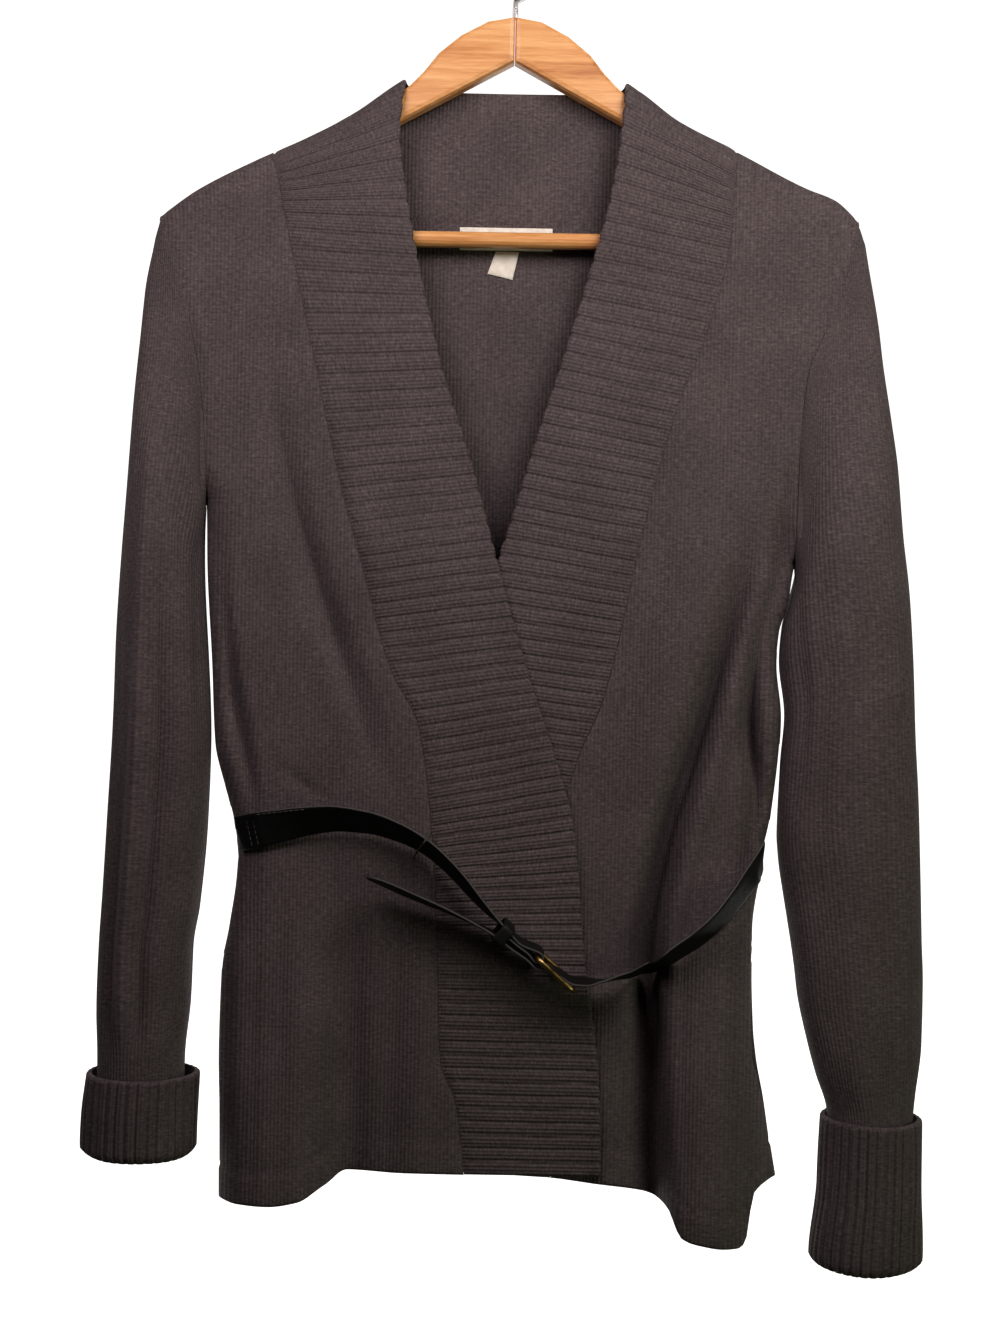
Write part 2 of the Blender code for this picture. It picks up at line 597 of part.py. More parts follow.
def sleeve_rings(sections, outer_edge, inner_edge, armhole, toward_body):
    """Rings of a sleeve's inside, from the armhole to its end, in the part's frame."""
    out_x, in_x, arm_x = curve(outer_edge), curve(inner_edge), curve(armhole)
    shares = np.array(UP_ARMHOLE)
    shares = np.concatenate([shares, shares[-2:0:-1]])
    count = len(shares)
    around = np.concatenate([np.linspace(0, 1, count // 2 + 1), np.linspace(1, 0, count // 2 + 1)[1:-1]])
    front = np.arange(count) <= count // 2
    start, end = armhole[0][0], armhole[-1][0]
    arm_z = mix(start, end, shares)
    arm = arm_x(arm_z)
    arm_z = np.where(shares == 1, inset_shoulder(arm), arm_z)
    lean = (arm_x(arm_z + 1) - arm_x(arm_z - 1)) / 2
    away = -toward_body * np.stack([np.ones_like(lean), 0 * lean, -lean], axis=-1)
    layers = ("outer" if toward_body > 0 else "inner", "back")
    seam_y = np.where(front, inside_y(arm, arm_z, layers[0]), inside_y(arm, arm_z, "back"))
    seam_y[shares == 1] = 0
    seam_y[0] = 0
    seam = seen_at(np.stack([arm, seam_y, arm_z], axis=-1) + away * SLEEVE_GAP)
    chord = mix(to_frame(np.array([in_x(start), 0, start])), to_frame(np.array([out_x(end), 0, end])), shares[:, None])
    bow = seam - chord
    rings = [seam]
    for k, section in enumerate(sections[1:], start=1):
        left = float(1 - ramp(k / CAP_RINGS))
        outer = to_frame(np.array([out_x(section.outer_z) + toward_body * WALL, 0, section.outer_z]))
        inner = to_frame(np.array([in_x(section.inner_z) - toward_body * WALL, 0, section.inner_z]))
        angle = np.pi * mix(shares, around, 1 - left)
        ring = mix(inner, outer, mix((1 - np.cos(angle)) / 2, shares, left)[:, None])
        oval = (section.half_depth - WALL) * np.sin(angle) ** 0.8 * np.where(front, -1, 1) + section.sway
        ring = ring + bow * np.array([1, 0, 1]) * left
        ring[:, 1] = mix(oval, seam[:, 1], left)
        rings.append(ring)
    return np.array(rings)


def ring_normals(rings):
    """Outward normals of rings (ring, point round it), worked out from their neighbours."""
    down = np.gradient(rings, axis=0)
    around = np.roll(rings, -1, axis=1) - np.roll(rings, 1, axis=1)
    normal = np.cross(down, around)
    centre = rings.mean(axis=1, keepdims=True)
    sign = np.sign((normal * (rings - centre)).sum(axis=(1, 2), keepdims=True))
    return normal * sign / np.linalg.norm(normal, axis=-1, keepdims=True)


def make_sleeve(name, sections, outer_edge, inner_edge, armhole, toward_body, material):
    rings = sleeve_rings(sections, outer_edge, inner_edge, armhole, toward_body)
    normals = ring_normals(rings)
    shares = np.array(UP_ARMHOLE)
    half = len(shares)
    z = mix(armhole[0][0], armhole[-1][0], shares)
    x = curve(armhole)(z)
    layer = "outer" if toward_body > 0 else "inner"
    normals[0, :half] = outward(x, z, layer)
    normals[0, half:] = outward(x, z, "back")[-2:0:-1]
    outer = rings + normals * WALL
    wall(name, rings.transpose(1, 0, 2), outer.transpose(1, 0, 2), material, closed=True)


def make_cuff(name, sections, material):
    """A ribbed tube whose lower edge turns in under the sleeve's end."""
    across = np.array(sorted(sections, key=lambda row: row.z), float)

    def grid(angles, height):
        rows = []
        for angle, raise_by in zip(angles, height):
            z, outer, inner, half_depth = across.T
            middle = (outer + inner) / 2
            reach = np.abs(outer - inner) / 2 - CUFF_HIGH + raise_by
            depth = half_depth - CUFF_HIGH + raise_by
            x = middle + reach * math.cos(angle)
            y = depth * math.sin(angle)
            rows.append(to_frame(np.stack([x, y, z], axis=-1)))
        return np.array(rows)

    angles, raised, inner_at = ribbed_steps(np.linspace(0, 2 * np.pi, CUFF_RIBS + 1), closed=True)
    inner = grid(angles[inner_at], np.zeros(CUFF_RIBS))
    outer = grid(angles, mix(CUFF_LOW, CUFF_HIGH, raised))
    wall(name, inner, outer, material, closed=True, inner_at=inner_at)


def strap_grid(centres, turns, width, thickness):
    """Two faces of a strap whose upper edge leans from upright to straight out."""
    centres = np.array(centres, float)
    along = np.gradient(centres, axis=0)
    along[:, 1] = 0
    along /= np.linalg.norm(along, axis=-1, keepdims=True)
    upright = np.stack([-along[:, 2], np.zeros(len(along)), along[:, 0]], axis=-1)
    upright[upright[:, 2] < 0] *= -1
    turn = np.radians(turns)[:, None]
    wide = upright * np.cos(turn) - np.array([0, 1, 0]) * np.sin(turn)
    facing = np.cross(along, wide)
    facing /= np.linalg.norm(facing, axis=-1, keepdims=True)
    edges = [centres - wide * width / 2, centres + wide * width / 2]
    face = np.stack(edges, axis=1)
    offset = facing[:, None, :] * thickness / 2
    return face - offset, face + offset


def strap_centres(stations, layer):
    """Middle line of a strap that stands clear of the cloth it passes."""
    x = np.array([row.x for row in stations], float)
    z = np.array([row.z for row in stations], float)
    turn = np.array([row.turn for row in stations], float)
    slope = np.gradient(z) / np.gradient(x)
    rise = STRAP_WIDTH / 2 * np.cos(np.radians(turn)) / np.hypot(1, slope)
    lean = STRAP_WIDTH / 2 * np.sin(np.radians(turn))
    near = [
        inside_y(x - share * rise * slope + aside, z + share * rise, layer) + share * lean
        for share in (-1, -0.5, 0, 0.5, 1) for aside in (-WALL, 0, WALL)
    ]
    clearance = mix(SEWN_CLEARANCE, BELT_CLEARANCE, ramp(np.abs(x - x[0]) / SEWN_LENGTH))
    near = np.min(near, axis=0) - RIB_HIGH - clearance - STRAP_THICKNESS / 2
    y = mix(near, np.minimum(near, BELT_MIDDLE_Y), ramp((turn - FREE_TURN) / (90 - FREE_TURN)))
    return np.stack([x, y, z], axis=-1), turn


def make_belt(leather, brass):
    along = np.array([BUCKLE_LOWER[0] - BUCKLE_UPPER[0], 0, BUCKLE_LOWER[1] - BUCKLE_UPPER[1]])
    along /= np.linalg.norm(along)
    over = np.array([-along[2], 0, along[0]])
    upper = np.array([BUCKLE_UPPER[0], BELT_MIDDLE_Y, BUCKLE_UPPER[1]])
    lower = np.array([BUCKLE_LOWER[0], BELT_MIDDLE_Y, BUCKLE_LOWER[1]])

    # The right strap runs to the buckle, round its upper bar and a short way back
    centres, turns = strap_centres(STRAP_RIGHT, "outer")
    radius = BUCKLE_WIRE / 2 + 0.6 + STRAP_THICKNESS / 2
    bend = [upper + radius * (over * math.cos(a) + along * math.sin(a)) for a in np.linspace(0, math.pi, 6)]
    back_z = STRAP_THICKNESS + 0.35
    back = [
        upper - along * 6 - over * (radius * 0.75),
        centres[-1] - along * 2 - over * back_z,
        centres[-2] - along * 1 - over * back_z,
    ]
    route = np.concatenate([centres, np.array(bend), np.array(back)])
    turns = np.concatenate([turns, np.full(len(bend) + len(back), 90.0)])
    inner, outer = strap_grid(seen_at(route), turns, STRAP_WIDTH, STRAP_THICKNESS)
    wall("belt_right", inner, outer, leather)

    # The left strap passes over the lower bar, through the buckle and on under the right one
    centres, turns = strap_centres(STRAP_LEFT, "inner")
    through = [
        lower + over * radius - along * 1,
        (upper + lower) / 2,
        upper - over * (radius + STRAP_THICKNESS + 0.6) + along * 4,
        upper - over * (radius + STRAP_THICKNESS + 0.6) - along * 4,
    ]
    tail, tail_turns = strap_centres(TAIL, "outer")
    route = np.concatenate([centres, np.array(through), tail])
    turns = np.concatenate([turns, np.full(len(through), 90.0), tail_turns])
    inner, outer = strap_grid(seen_at(route), turns, STRAP_WIDTH, STRAP_THICKNESS)
    wall("belt_left", inner, outer, leather)

    # Buckle: a rounded rectangle of round wire, lying in the plane of the straps
    middle = seen_at((upper + lower) / 2)
    data = bpy.data.curves.new("belt_buckle", "CURVE")
    data.dimensions = "3D"
    data.bevel_depth = BUCKLE_WIRE / 2 * MM
    data.bevel_resolution = 2
    corner = 4.0
    half_length, half_width = (BUCKLE_LENGTH - BUCKLE_WIRE) / 2, (BUCKLE_WIDTH - BUCKLE_WIRE) / 2 + 1.2
    spline = data.splines.new("POLY")
    points = []
    for sign_a, sign_w, first in ((1, 1, 0), (-1, 1, 90), (-1, -1, 180), (1, -1, 270)):
        for k in range(4):
            angle = math.radians(first + 30 * k)
            points.append((
                sign_a * (half_length - corner) + corner * math.cos(angle),
                sign_w * (half_width - corner) + corner * math.sin(angle),
            ))
    spline.points.add(len(points) - 1)
    for point, (a, w) in zip(spline.points, points):
        place = middle + along * a + np.array([0, w, 0])
        point.co = (*(place * MM), 1)
    spline.use_cyclic_u = True
    add_curve_mesh("belt_buckle", data, brass)

    # Keeper: a leather ring round both straps
    keeper_at = seen_at(strap_centres(STRAP_RIGHT, "outer")[0][-2] - along * 1 - over * 3.2)
    rows = []
    for grow in (0.0, 1.4):
        ring = []
        for a, w in ((1, 1), (-1, 1), (-1, -1), (1, -1)):
            reach = over * a * (5.6 + grow) + np.array([0, w * (STRAP_WIDTH / 2 + 0.5 + grow), 0])
            ring.append([keeper_at + reach - along * 4, keeper_at + reach + along * 4])
        rows.append(np.array(ring))
    wall("belt_keeper", rows[0], rows[1], leather, closed=True)


def add_curve_mesh(name, data, material):
    """Turns a bevelled curve into a closed mesh."""
    guide = bpy.data.objects.new(name + "_guide", data)
    garment.objects.link(guide)
    bpy.context.view_layer.update()
    mesh = bpy.data.meshes.new_from_object(guide.evaluated_get(bpy.context.evaluated_depsgraph_get()))
    bpy.data.objects.remove(guide)
    bm = bmesh.new()
    bm.from_mesh(mesh)
    bmesh.ops.remove_doubles(bm, verts=bm.verts, dist=0.0001)
    bmesh.ops.recalc_face_normals(bm, faces=bm.faces)
    bm.to_mesh(mesh)
    bm.free()
    mesh.name = name
    return finish(name, mesh, material)


def tube(name, points, diameter, material, resolution=2):
    data = bpy.data.curves.new(name, "CURVE")
    data.dimensions = "3D"
    data.bevel_depth = diameter / 2 * MM
    data.bevel_resolution = resolution
    data.use_fill_caps = True
    spline = data.splines.new("POLY")
    spline.points.add(len(points) - 1)
    for point, place in zip(spline.points, points):
        point.co = (*(np.asarray(place, float) * MM), 1)
    return add_curve_mesh(name, data, material)


def make_carrier(material):
    """The thread loop that carries the right strap at its band's seam."""
    centres, turns = strap_centres(STRAP_RIGHT, "outer")
    place = [row.x for row in STRAP_RIGHT].index(CARRIER_X)
    centre, turn = centres[place], math.radians(turns[place])
    along = centres[place + 1] - centres[place - 1]
    along[1] = 0
    along /= np.linalg.norm(along)
    upright = np.array([-along[2], 0, along[0]])
    wide = upright * math.cos(turn) - np.array([0, 1, 0]) * math.sin(turn)
    out = -upright * math.sin(turn) - np.array([0, 1, 0]) * math.cos(turn)
    half = STRAP_WIDTH / 2
    lift = STRAP_THICKNESS / 2 + CARRIER_THREAD / 2 + 0.4

    def on_cloth(side):
        point = centre + upright * side * (half * math.cos(turn) + 4)
        depth = float(inside_y(point[0], point[2], "outer")) - RIB_HIGH - CARRIER_THREAD / 2
        return [seen_at(np.array([point[0], depth + sunk, point[2]])) for sunk in (1.3, -1.0)]

    middle = seen_at(centre)
    round_strap = [
        middle + wide * w * (half + 1.9) + out * o * lift
        for w, o in ((1, -0.2), (1, 1), (0, 1), (-1, 1), (-1, -0.2))
    ]
    route = on_cloth(1) + round_strap + on_cloth(-1)[::-1]
    tube("belt_carrier", route, CARRIER_THREAD, material, 1)


def make_labels(material):
    """Woven labels, sewn in at the back neck."""
    def label(name, corners, lift, divisions):
        lower_left, lower_right, upper_right, upper_left = (np.array(c, float) for c in corners)
        u = np.linspace(0, 1, divisions)
        rows = []
        for v in (0.0, 0.5, 1.0):
            left, right = mix(lower_left, upper_left, v), mix(lower_right, upper_right, v)
            rows.append(mix(left, right, u[:, None]))
        grid = np.array(rows)
        x, z = grid[..., 0], grid[..., 1]
        near = on_layer(x, z, "back", np.full(x.shape, -lift - 0.7))
        far = on_layer(x, z, "back", np.full(x.shape, -lift))
        wall(name, near, far, material)

    label("neck_label", ((-38, 264), (21, 264), (21, 278.5), (-38, 278.5)), 0.35, 5)
    label("care_label", ((-20, 249), (-4, 245.5), (0, 263.2), (-15, 263.4)), 0.35, 3)


def make_hanger(wood, steel):
    for name, side in (("hanger_arm_left", 1), ("hanger_arm_right", -1)):
        data = bpy.data.curves.new(name, "CURVE")
        data.dimensions = "2D"
        data.fill_mode = "BOTH"
        data.extrude = ARM_THICKNESS / 2 * MM - ARM_EDGE * MM
        data.bevel_depth = ARM_EDGE * MM
        data.bevel_resolution = 1
        data.offset = -ARM_EDGE * MM
        spline = data.splines.new("POLY")
        outline = [(side * x, z - HOOK_TOP_Z) for x, z in ARM_OUTLINE]
        spline.points.add(len(outline) - 1)
        for point, (x, z) in zip(spline.points, outline):
            point.co = (x * MM, z * MM, 0, 1)
        spline.use_cyclic_u = True
        arm = add_curve_mesh(name, data, wood)
        arm.data.transform(Matrix.Rotation(math.radians(90), 4, "X"))
    bm = bmesh.new()
    turn = Matrix.Translation((0, 0, (ROD_Z - HOOK_TOP_Z) * MM)) @ Matrix.Rotation(math.radians(90), 4, "Y")
    bmesh.ops.create_cone(
        bm, cap_ends=True, segments=16, radius1=ROD_DIAMETER / 2 * MM, radius2=ROD_DIAMETER / 2 * MM,
        depth=2 * LUG_X * MM, matrix=turn,
    )
    mesh = bpy.data.meshes.new("hanger_rod")
    bm.to_mesh(mesh)
    bm.free()
    finish("hanger_rod", mesh, wood)

    # The hook's wire rises from the arms and goes round over the origin
    centre_z = -(HOOK_RADIUS - HOOK_WIRE / 2)
    hub_z = ARM_OUTLINE[-1][1] - HOOK_TOP_Z + 0.3
    points = [(0, 0, hub_z), (0, 0, centre_z - HOOK_RADIUS - 3.4)]
    for degrees in range(-66, 216, 12):
        angle = math.radians(degrees)
        points.append((HOOK_RADIUS * math.cos(angle), 0, centre_z + HOOK_RADIUS * math.sin(angle)))
    tube("hanger_hook", points, HOOK_WIRE, steel)


for old in list(bpy.data.objects):
    bpy.data.objects.remove(old)
garment = bpy.data.collections.new("wrap_cardigan")
bpy.context.scene.collection.children.link(garment)

knit = new_material("charcoal_knit", (0.062, 0.050, 0.048), 0.95)
leather_black = new_material("black_leather", (0.012, 0.012, 0.013), 0.45)
brass_old = new_material("brass", (0.55, 0.40, 0.16), 0.35, 1.0)
wood_beech = new_material("beech", (0.62, 0.33, 0.12), 0.55)
steel_hook = new_material("steel", (0.60, 0.60, 0.60), 0.3, 1.0)
label_white = new_material("label", (0.80, 0.76, 0.68), 0.9)

right_seam, left_seam = make_fronts(knit)
upper_edge = make_back(knit)
make_band("band_right", BAND_RIGHT_FREE, BAND_RIGHT_SLANT, "outer", right_seam, BAND_GAP, knit)
make_band("band_left", BAND_LEFT_FREE, BAND_LEFT_SLANT, "inner", left_seam, -BAND_GAP, knit)
make_collar(upper_edge, knit)
make_sleeve("sleeve_right", SLEEVE_RIGHT, SLEEVE_RIGHT_OUTER, SLEEVE_RIGHT_INNER, ARMHOLE_RIGHT, 1, knit)
make_sleeve("sleeve_left", SLEEVE_LEFT, SLEEVE_LEFT_OUTER, SLEEVE_LEFT_INNER, ARMHOLE_LEFT, -1, knit)
make_cuff("cuff_right", CUFF_RIGHT, knit)
make_cuff("cuff_left", CUFF_LEFT, knit)
make_belt(leather_black, brass_old)
make_carrier(knit)
make_labels(label_white)
make_hanger(wood_beech, steel_hook)
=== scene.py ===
"""Looks of the wrap cardigan: knitted cloth, leather belt, brass buckle and wooden hanger.

Tables are in millimetres as the garment shows in the plane of the hanger, x to the viewer's
right from the middle of the picture and z up. seen_at() carries a point to its own depth
along the line of sight, and to_frame() moves it to the part's own origin.
"""

import math
from collections import namedtuple

import bmesh
import bpy
import numpy as np
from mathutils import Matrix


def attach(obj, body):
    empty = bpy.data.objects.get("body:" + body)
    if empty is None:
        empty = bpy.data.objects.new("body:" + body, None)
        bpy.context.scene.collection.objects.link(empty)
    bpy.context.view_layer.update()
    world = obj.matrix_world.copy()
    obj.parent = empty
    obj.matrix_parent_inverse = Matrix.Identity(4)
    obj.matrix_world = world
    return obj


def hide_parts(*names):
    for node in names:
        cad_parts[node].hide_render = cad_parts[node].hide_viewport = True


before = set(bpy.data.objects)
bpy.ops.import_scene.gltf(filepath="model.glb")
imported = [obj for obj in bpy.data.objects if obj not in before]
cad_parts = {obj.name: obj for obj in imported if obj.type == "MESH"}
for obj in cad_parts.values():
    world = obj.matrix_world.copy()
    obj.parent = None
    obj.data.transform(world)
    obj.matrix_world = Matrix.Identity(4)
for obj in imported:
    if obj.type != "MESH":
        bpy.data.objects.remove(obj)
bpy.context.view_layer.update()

MM = 0.001

# Where the garment is seen from, and where its own axes lie
VIEW_DISTANCE = 900.0
VIEW_X = -7.6
HANGER_X = -5.0
HOOK_TOP_Z = 465.0
PICTURE_HEIGHT = 846.5
PICTURE_ROLL = math.radians(-1.0)

# Cloth: wall, ribs as thickness and as a share of their pitch, seams, the outer front's lap
# over the inner one, how far in from an edge the cloth curves round, and the turned hem
WALL = 2.0
RIB_LOW = 2.15
RIB_HIGH = 3.0
RIB_GROOVE = 0.24
RIB_CROWN = 0.12
SEAM_GAP = 0.06
LAP = 5.2
LAP_TOP_Z = 118.0
LAP_RISE = 50.0
LAP_START_X = -135.0
LAP_SPREAD = 60.0
SIDE_TURN = 18.0
SHOULDER_TURN = 7.5
CREST_DROP = 2.0
SHOULDER_SLOPE = math.radians(30.0)
EDGE_ROUND = 1.6
EDGE_THINNEST = 0.28
SEAM_ROUND = 4.5
SEAM_DIP = 0.9
WELT_HEIGHT = 21.0
WELT_RAISE = 0.45
WELT_STEP = 1.5
WELT_GROOVE = 0.55
WELT_GROOVE_WIDTH = 1.1
WALE_WIDTH = 2.4
COURSE_HEIGHT = 1.9
# Spacing of the panels' mesh, the nominal lengths it is worked out for, and its columns
MESH_STEP = 3.2
BODY_LENGTH = 400.0
FRONT_ARM_LENGTH = 230.0
BACK_ARM_LENGTH = 200.0
FRONT_WIDTH = 180.0
FRONT_COLUMNS = 64
BACK_WIDTH = 360.0
BACK_COLUMNS = 118
BAND_WIDTH = 80.0
BAND_COLUMNS = 22
ROWS_A_RIB = 10
# Shortest and longest step that the cloth's slope is measured over
SLOPE_STEPS = (0.01, 0.4)

# Body outline, as (height, position across)
SIDE_RIGHT = (
    (-340, -180), (-282, -181), (-247, -182), (-194, -181), (-168, -177), (-139, -173),
    (-123, -172), (-102, -174.6), (-78, -181), (-52, -187.5), (0, -190.5), (60, -194.5),
    (100, -195.7), (115, -204), (135, -222), (170, -236), (240, -240), (380, -240),
)
SIDE_LEFT = (
    (-320, 172.5), (-300, 169), (-268, 164), (-245, 159.5), (-223, 157), (-186, 155.6),
    (-160, 156), (-136, 159), (-126, 162), (-115, 161.5), (-92, 166), (-30, 171.5),
    (5, 168), (25, 169.5), (42, 174.5), (66, 178), (85, 188), (110, 212), (150, 236),
    (240, 240), (380, 240),
)
# Top of the shoulders, as (position across, height)
TOP = (
    (-228, 282), (-205, 299), (-168, 318), (-139, 331), (-104, 350), (-74, 371), (-60, 377),
    (-45, 392), (35, 392), (52, 377), (66, 371), (100, 347), (139, 328), (181, 307),
    (200, 299.5), (215, 286),
)
NECKLINE = (
    (-157, 322.5), (-149, 310), (-130, 297), (-100, 287), (-60, 282), (-5, 280.5), (55, 282),
    (90, 287), (118, 298), (130, 311), (137, 327.5),
)
HEM_FRONT = (
    (-180, -335), (-177, -341), (-168, -344.5), (-150, -346), (-131, -343), (-115, -332),
    (-99, -321), (-62, -323), (20, -323.6), (62, -328), (88, -331), (99, -335), (107, -343),
    (115, -362), (126, -366), (140, -368), (149.5, -367), (153.4, -361), (155.5, -345),
    (158, -332), (172.5, -319),
)
HEM_BACK = ((-180, -341), (-120, -319), (0, -317), (100, -317), (150, -322), (172.5, -319))

# Armholes, as (height, position across), from the underarm up to the shoulder tip
ARMHOLE_RIGHT = ((100, -195.7), (130, -197), (170, -200), (215, -208), (250, -218), (282, -228))
ARMHOLE_LEFT = ((66, 178), (95, 179.5), (150, 181), (190, 185), (220, 197), (250, 208), (286, 215))
SEAM_TOP_RIGHT = 324.0
SEAM_TOP_LEFT = 329.0

# Front bands: free edge and seam edge as (height, position across), and the height on the
# seam edge that the rib starting at a height on the free edge runs to
BAND_RIGHT_FREE = (
    (-323, 62), (-261, 59.5), (-181, 49), (-102, 41), (-59, 29), (0, 9), (67, -10.6),
    (129, -28), (190, -48), (248, -62), (298, -72), (340, -77), (371, -74),
)
BAND_RIGHT_SEAM = (
    (-323, -25), (-280, -30), (-250, -41), (-160, -45), (-105, -49), (-40, -58), (0, -78),
    (60, -95), (120, -112), (200, -130), (280, -148), (324, -157),
)
BAND_RIGHT_SLANT = (
    (-323, -323), (-200, -200), (-150, -154), (-80, -96), (0, -12), (100, 88), (200, 196),
    (290, 290), (371, 324),
)
BAND_LEFT_FREE = (
    (-320, -62), (-190, -60), (-105, -52), (-20, -36), (68, -10), (97, -1), (139, 11),
    (200, 30), (248, 44), (298, 57), (340, 63.5), (371, 66),
)
BAND_LEFT_SEAM = (
    (-324, 30), (-200, 27), (-110, 30), (-60, 42), (-20, 58), (20, 68), (80, 80), (160, 100),
    (220, 122), (280, 135), (329, 137),
)
BAND_LEFT_SLANT = (
    (-320, -324), (-200, -204), (-100, -108), (0, -12), (100, 86), (200, 184), (300, 281),
    (371, 329),
)
RIB_PITCH = ((-323, 8.3), (-100, 8.6), (0, 9.4), (100, 10.4), (200, 11.6), (300, 12.6), (371, 12.6))
# Share of the way round, position across, height: top edge of the collar behind the neck
COLLAR_FREE = (
    (0.0, -74, 371), (0.06, -71.5, 366.8), (0.14, -65, 364.2), (0.5, -4, 363.5),
    (0.86, 57, 364.2), (0.94, 63.5, 366.8), (1.0, 66, 371),
)
COLLAR_SEAM = (
    (0.0, -156.6), (0.06, -147), (0.15, -128), (0.26, -100), (0.38, -60), (0.52, -5), (0.66, 50),
    (0.77, 88), (0.87, 115), (0.94, 128.5), (1.0, 136.6),
)
COLLAR_RIBS = 26
# Lengths over which a strip's rows bow to meet the shoulders' crest, in millimetres on a front
# band and as a share of the way round on the collar
BAND_CREST_LENGTH = 60.0
COLLAR_CREST_LENGTH = 0.2

# Depth of the plain inside of the cloth from the hanger's middle plane, by height
FRONT_DEPTH = (
    (-340, 24), (-250, 22), (-150, 19), (-50, 17), (50, 15), (150, 12), (250, 10.2), (330, 9.8),
)
BACK_DEPTH = ((-340, 17), (-100, 15), (100, 13), (200, 11.5), (270, 10.2), (330, 9.6), (370, 9.6))

# path is (height, position across); depths are towards the viewer on the fronts and away
# from the viewer on the back, at the fold's top, middle and bottom
Fold = namedtuple("Fold", "name path half_width top middle bottom")
FRONT_FOLDS = (
    Fold(
        "chest crease",
        ((195, -161), (130, -148), (80, -135), (30, -118), (-15, -100), (-90, -73)),
        11, 0, -6, 0,
    ),
    Fold("right side crease", ((20, -180), (-10, -178), (-40, -172), (-95, -162)), 6, 0, -6, -2),
    Fold("right skirt ridge", ((-110, -160), (-200, -154), (-345, -150)), 31, 0, 7, 15),
    Fold("right skirt trough", ((-120, -78), (-240, -84), (-345, -86)), 26, 0, -4, -9),
    Fold(
        "left long trough",
        ((95, 152), (10, 133), (-65, 113), (-120, 98), (-180, 90), (-240, 90), (-345, 96)),
        11, 0, -13, -14,
    ),
    Fold("left chest roll", ((110, 128), (20, 108), (-90, 84)), 20, 0, 5, 0),
    Fold("left side trough", ((35, 154), (-30, 152), (-80, 156), (-140, 149)), 8, 0, -12, 0),
    Fold("left side crease", ((140, 177), (80, 170), (5, 156)), 7, 0, -5, 0),
    Fold("left skirt ridge", ((-120, 126), (-240, 130), (-345, 132)), 25, 0, 13, 23),
    Fold("left skirt hollow", ((-190, 166), (-260, 168), (-345, 171)), 9, 0, -12, -18),
)
BACK_FOLDS = (
    Fold("right back fold", ((40, -118), (-150, -126), (-345, -134)), 26, 0, 5, 11),
    Fold("middle back fold", ((-40, -18), (-200, -8), (-345, 2)), 34, 0, 4, 10),
    Fold("left back fold", ((60, 104), (-150, 110), (-345, 116)), 25, 0, 5, 12),
    Fold("right shoulder blade", ((250, -110), (160, -120), (60, -128)), 34, 0, 3, 0),
    Fold("left shoulder blade", ((250, 100), (160, 106), (60, 112)), 34, 0, 3, 0),
)
# Softer creases that only the cloth's outer and inner faces follow
FRONT_CREASES = (
    Fold("right chest ripple", ((250, -176), (170, -166), (90, -160)), 9, 0, 1.3, 0),
    Fold("beside the right band", ((225, -122), (120, -103), (20, -75)), 7, 0, 1.5, 0),
    Fold("right waist tuck", ((-62, -150), (-84, -120), (-92, -90)), 7, 0, -1.6, 0),
    Fold("right hip fall", ((-122, -131), (-220, -127), (-340, -125)), 12, 0, 4, 3),
    Fold("right inner fall", ((-135, -52), (-230, -58), (-335, -60)), 9, 0, 1.5, 1),
    Fold("left chest ripple", ((230, 150), (150, 142), (90, 140)), 9, 0, 1.4, 0),
    Fold("left waist roll", ((-40, 132), (-90, 124), (-150, 114)), 8, 0, 2.2, 0),
    Fold("left skirt pleat", ((-190, 142), (-270, 146), (-350, 148)), 6, 0, -2.4, -3),
    Fold("left inner fall", ((-190, 62), (-260, 64), (-340, 68)), 9, 0, 2.2, 3),
    Fold(
        "bottom of the left long trough",
        ((80, 149), (10, 133), (-65, 113), (-120, 98), (-180, 90), (-345, 96)),
        8, 0, -11.5, -11.5,
    ),
    Fold(
        "upper end of the left long trough",
        ((85, 152), (30, 140), (-20, 127), (-85, 108)),
        6, 0, -6, 0,
    ),
    Fold(
        "brink of the left long trough",
        ((80, 161), (10, 146), (-65, 126), (-120, 111), (-180, 103), (-345, 109)),
        7, 0, 3.5, 3.5,
    ),
    Fold("right skirt hollow", ((-112, -104), (-220, -102), (-345, -98)), 13, 0, -5, -4),
    Fold(
        "bottom of the left side trough",
        ((50, 158), (-30, 152), (-80, 156), (-140, 149)),
        5, 0, -7, 0,
    ),
    Fold("bottom of the left side crease", ((155, 180), (80, 171), (5, 157)), 4.5, 0, -4, 0),
    Fold(
        "bottom of the right side crease",
        ((90, -188), (20, -181), (-40, -172), (-95, -162)),
        4.5, 0, -4, 0,
    ),
    Fold(
        "bottom of the chest crease",
        ((195, -161), (130, -148), (30, -118), (-90, -73)),
        5, 0, -2.5, 0,
    ),
    Fold("left hem hollow", ((-180, 150), (-260, 154), (-345, 156)), 6, 0, -5, -8),
)
BACK_CREASES = (
    Fold("right back fall", ((-60, -70), (-200, -74), (-330, -78)), 10, 0, 2.4, 3),
    Fold("left back fall", ((-50, 48), (-190, 56), (-330, 60)), 10, 0, 2.6, 3),
    Fold("right blade crease", ((210, -60), (90, -84), (-20, -96)), 8, 0, -1.6, 0),
    Fold("left blade crease", ((215, 60), (110, 78), (0, 88)), 8, 0, -1.4, 0),
    Fold("right underarm crease", ((120, -176), (40, -160), (-40, -150)), 7, 0, -2.0, 0),
    Fold("left underarm crease", ((80, 160), (0, 146), (-70, 138)), 7, 0, -2.0, 0),
)

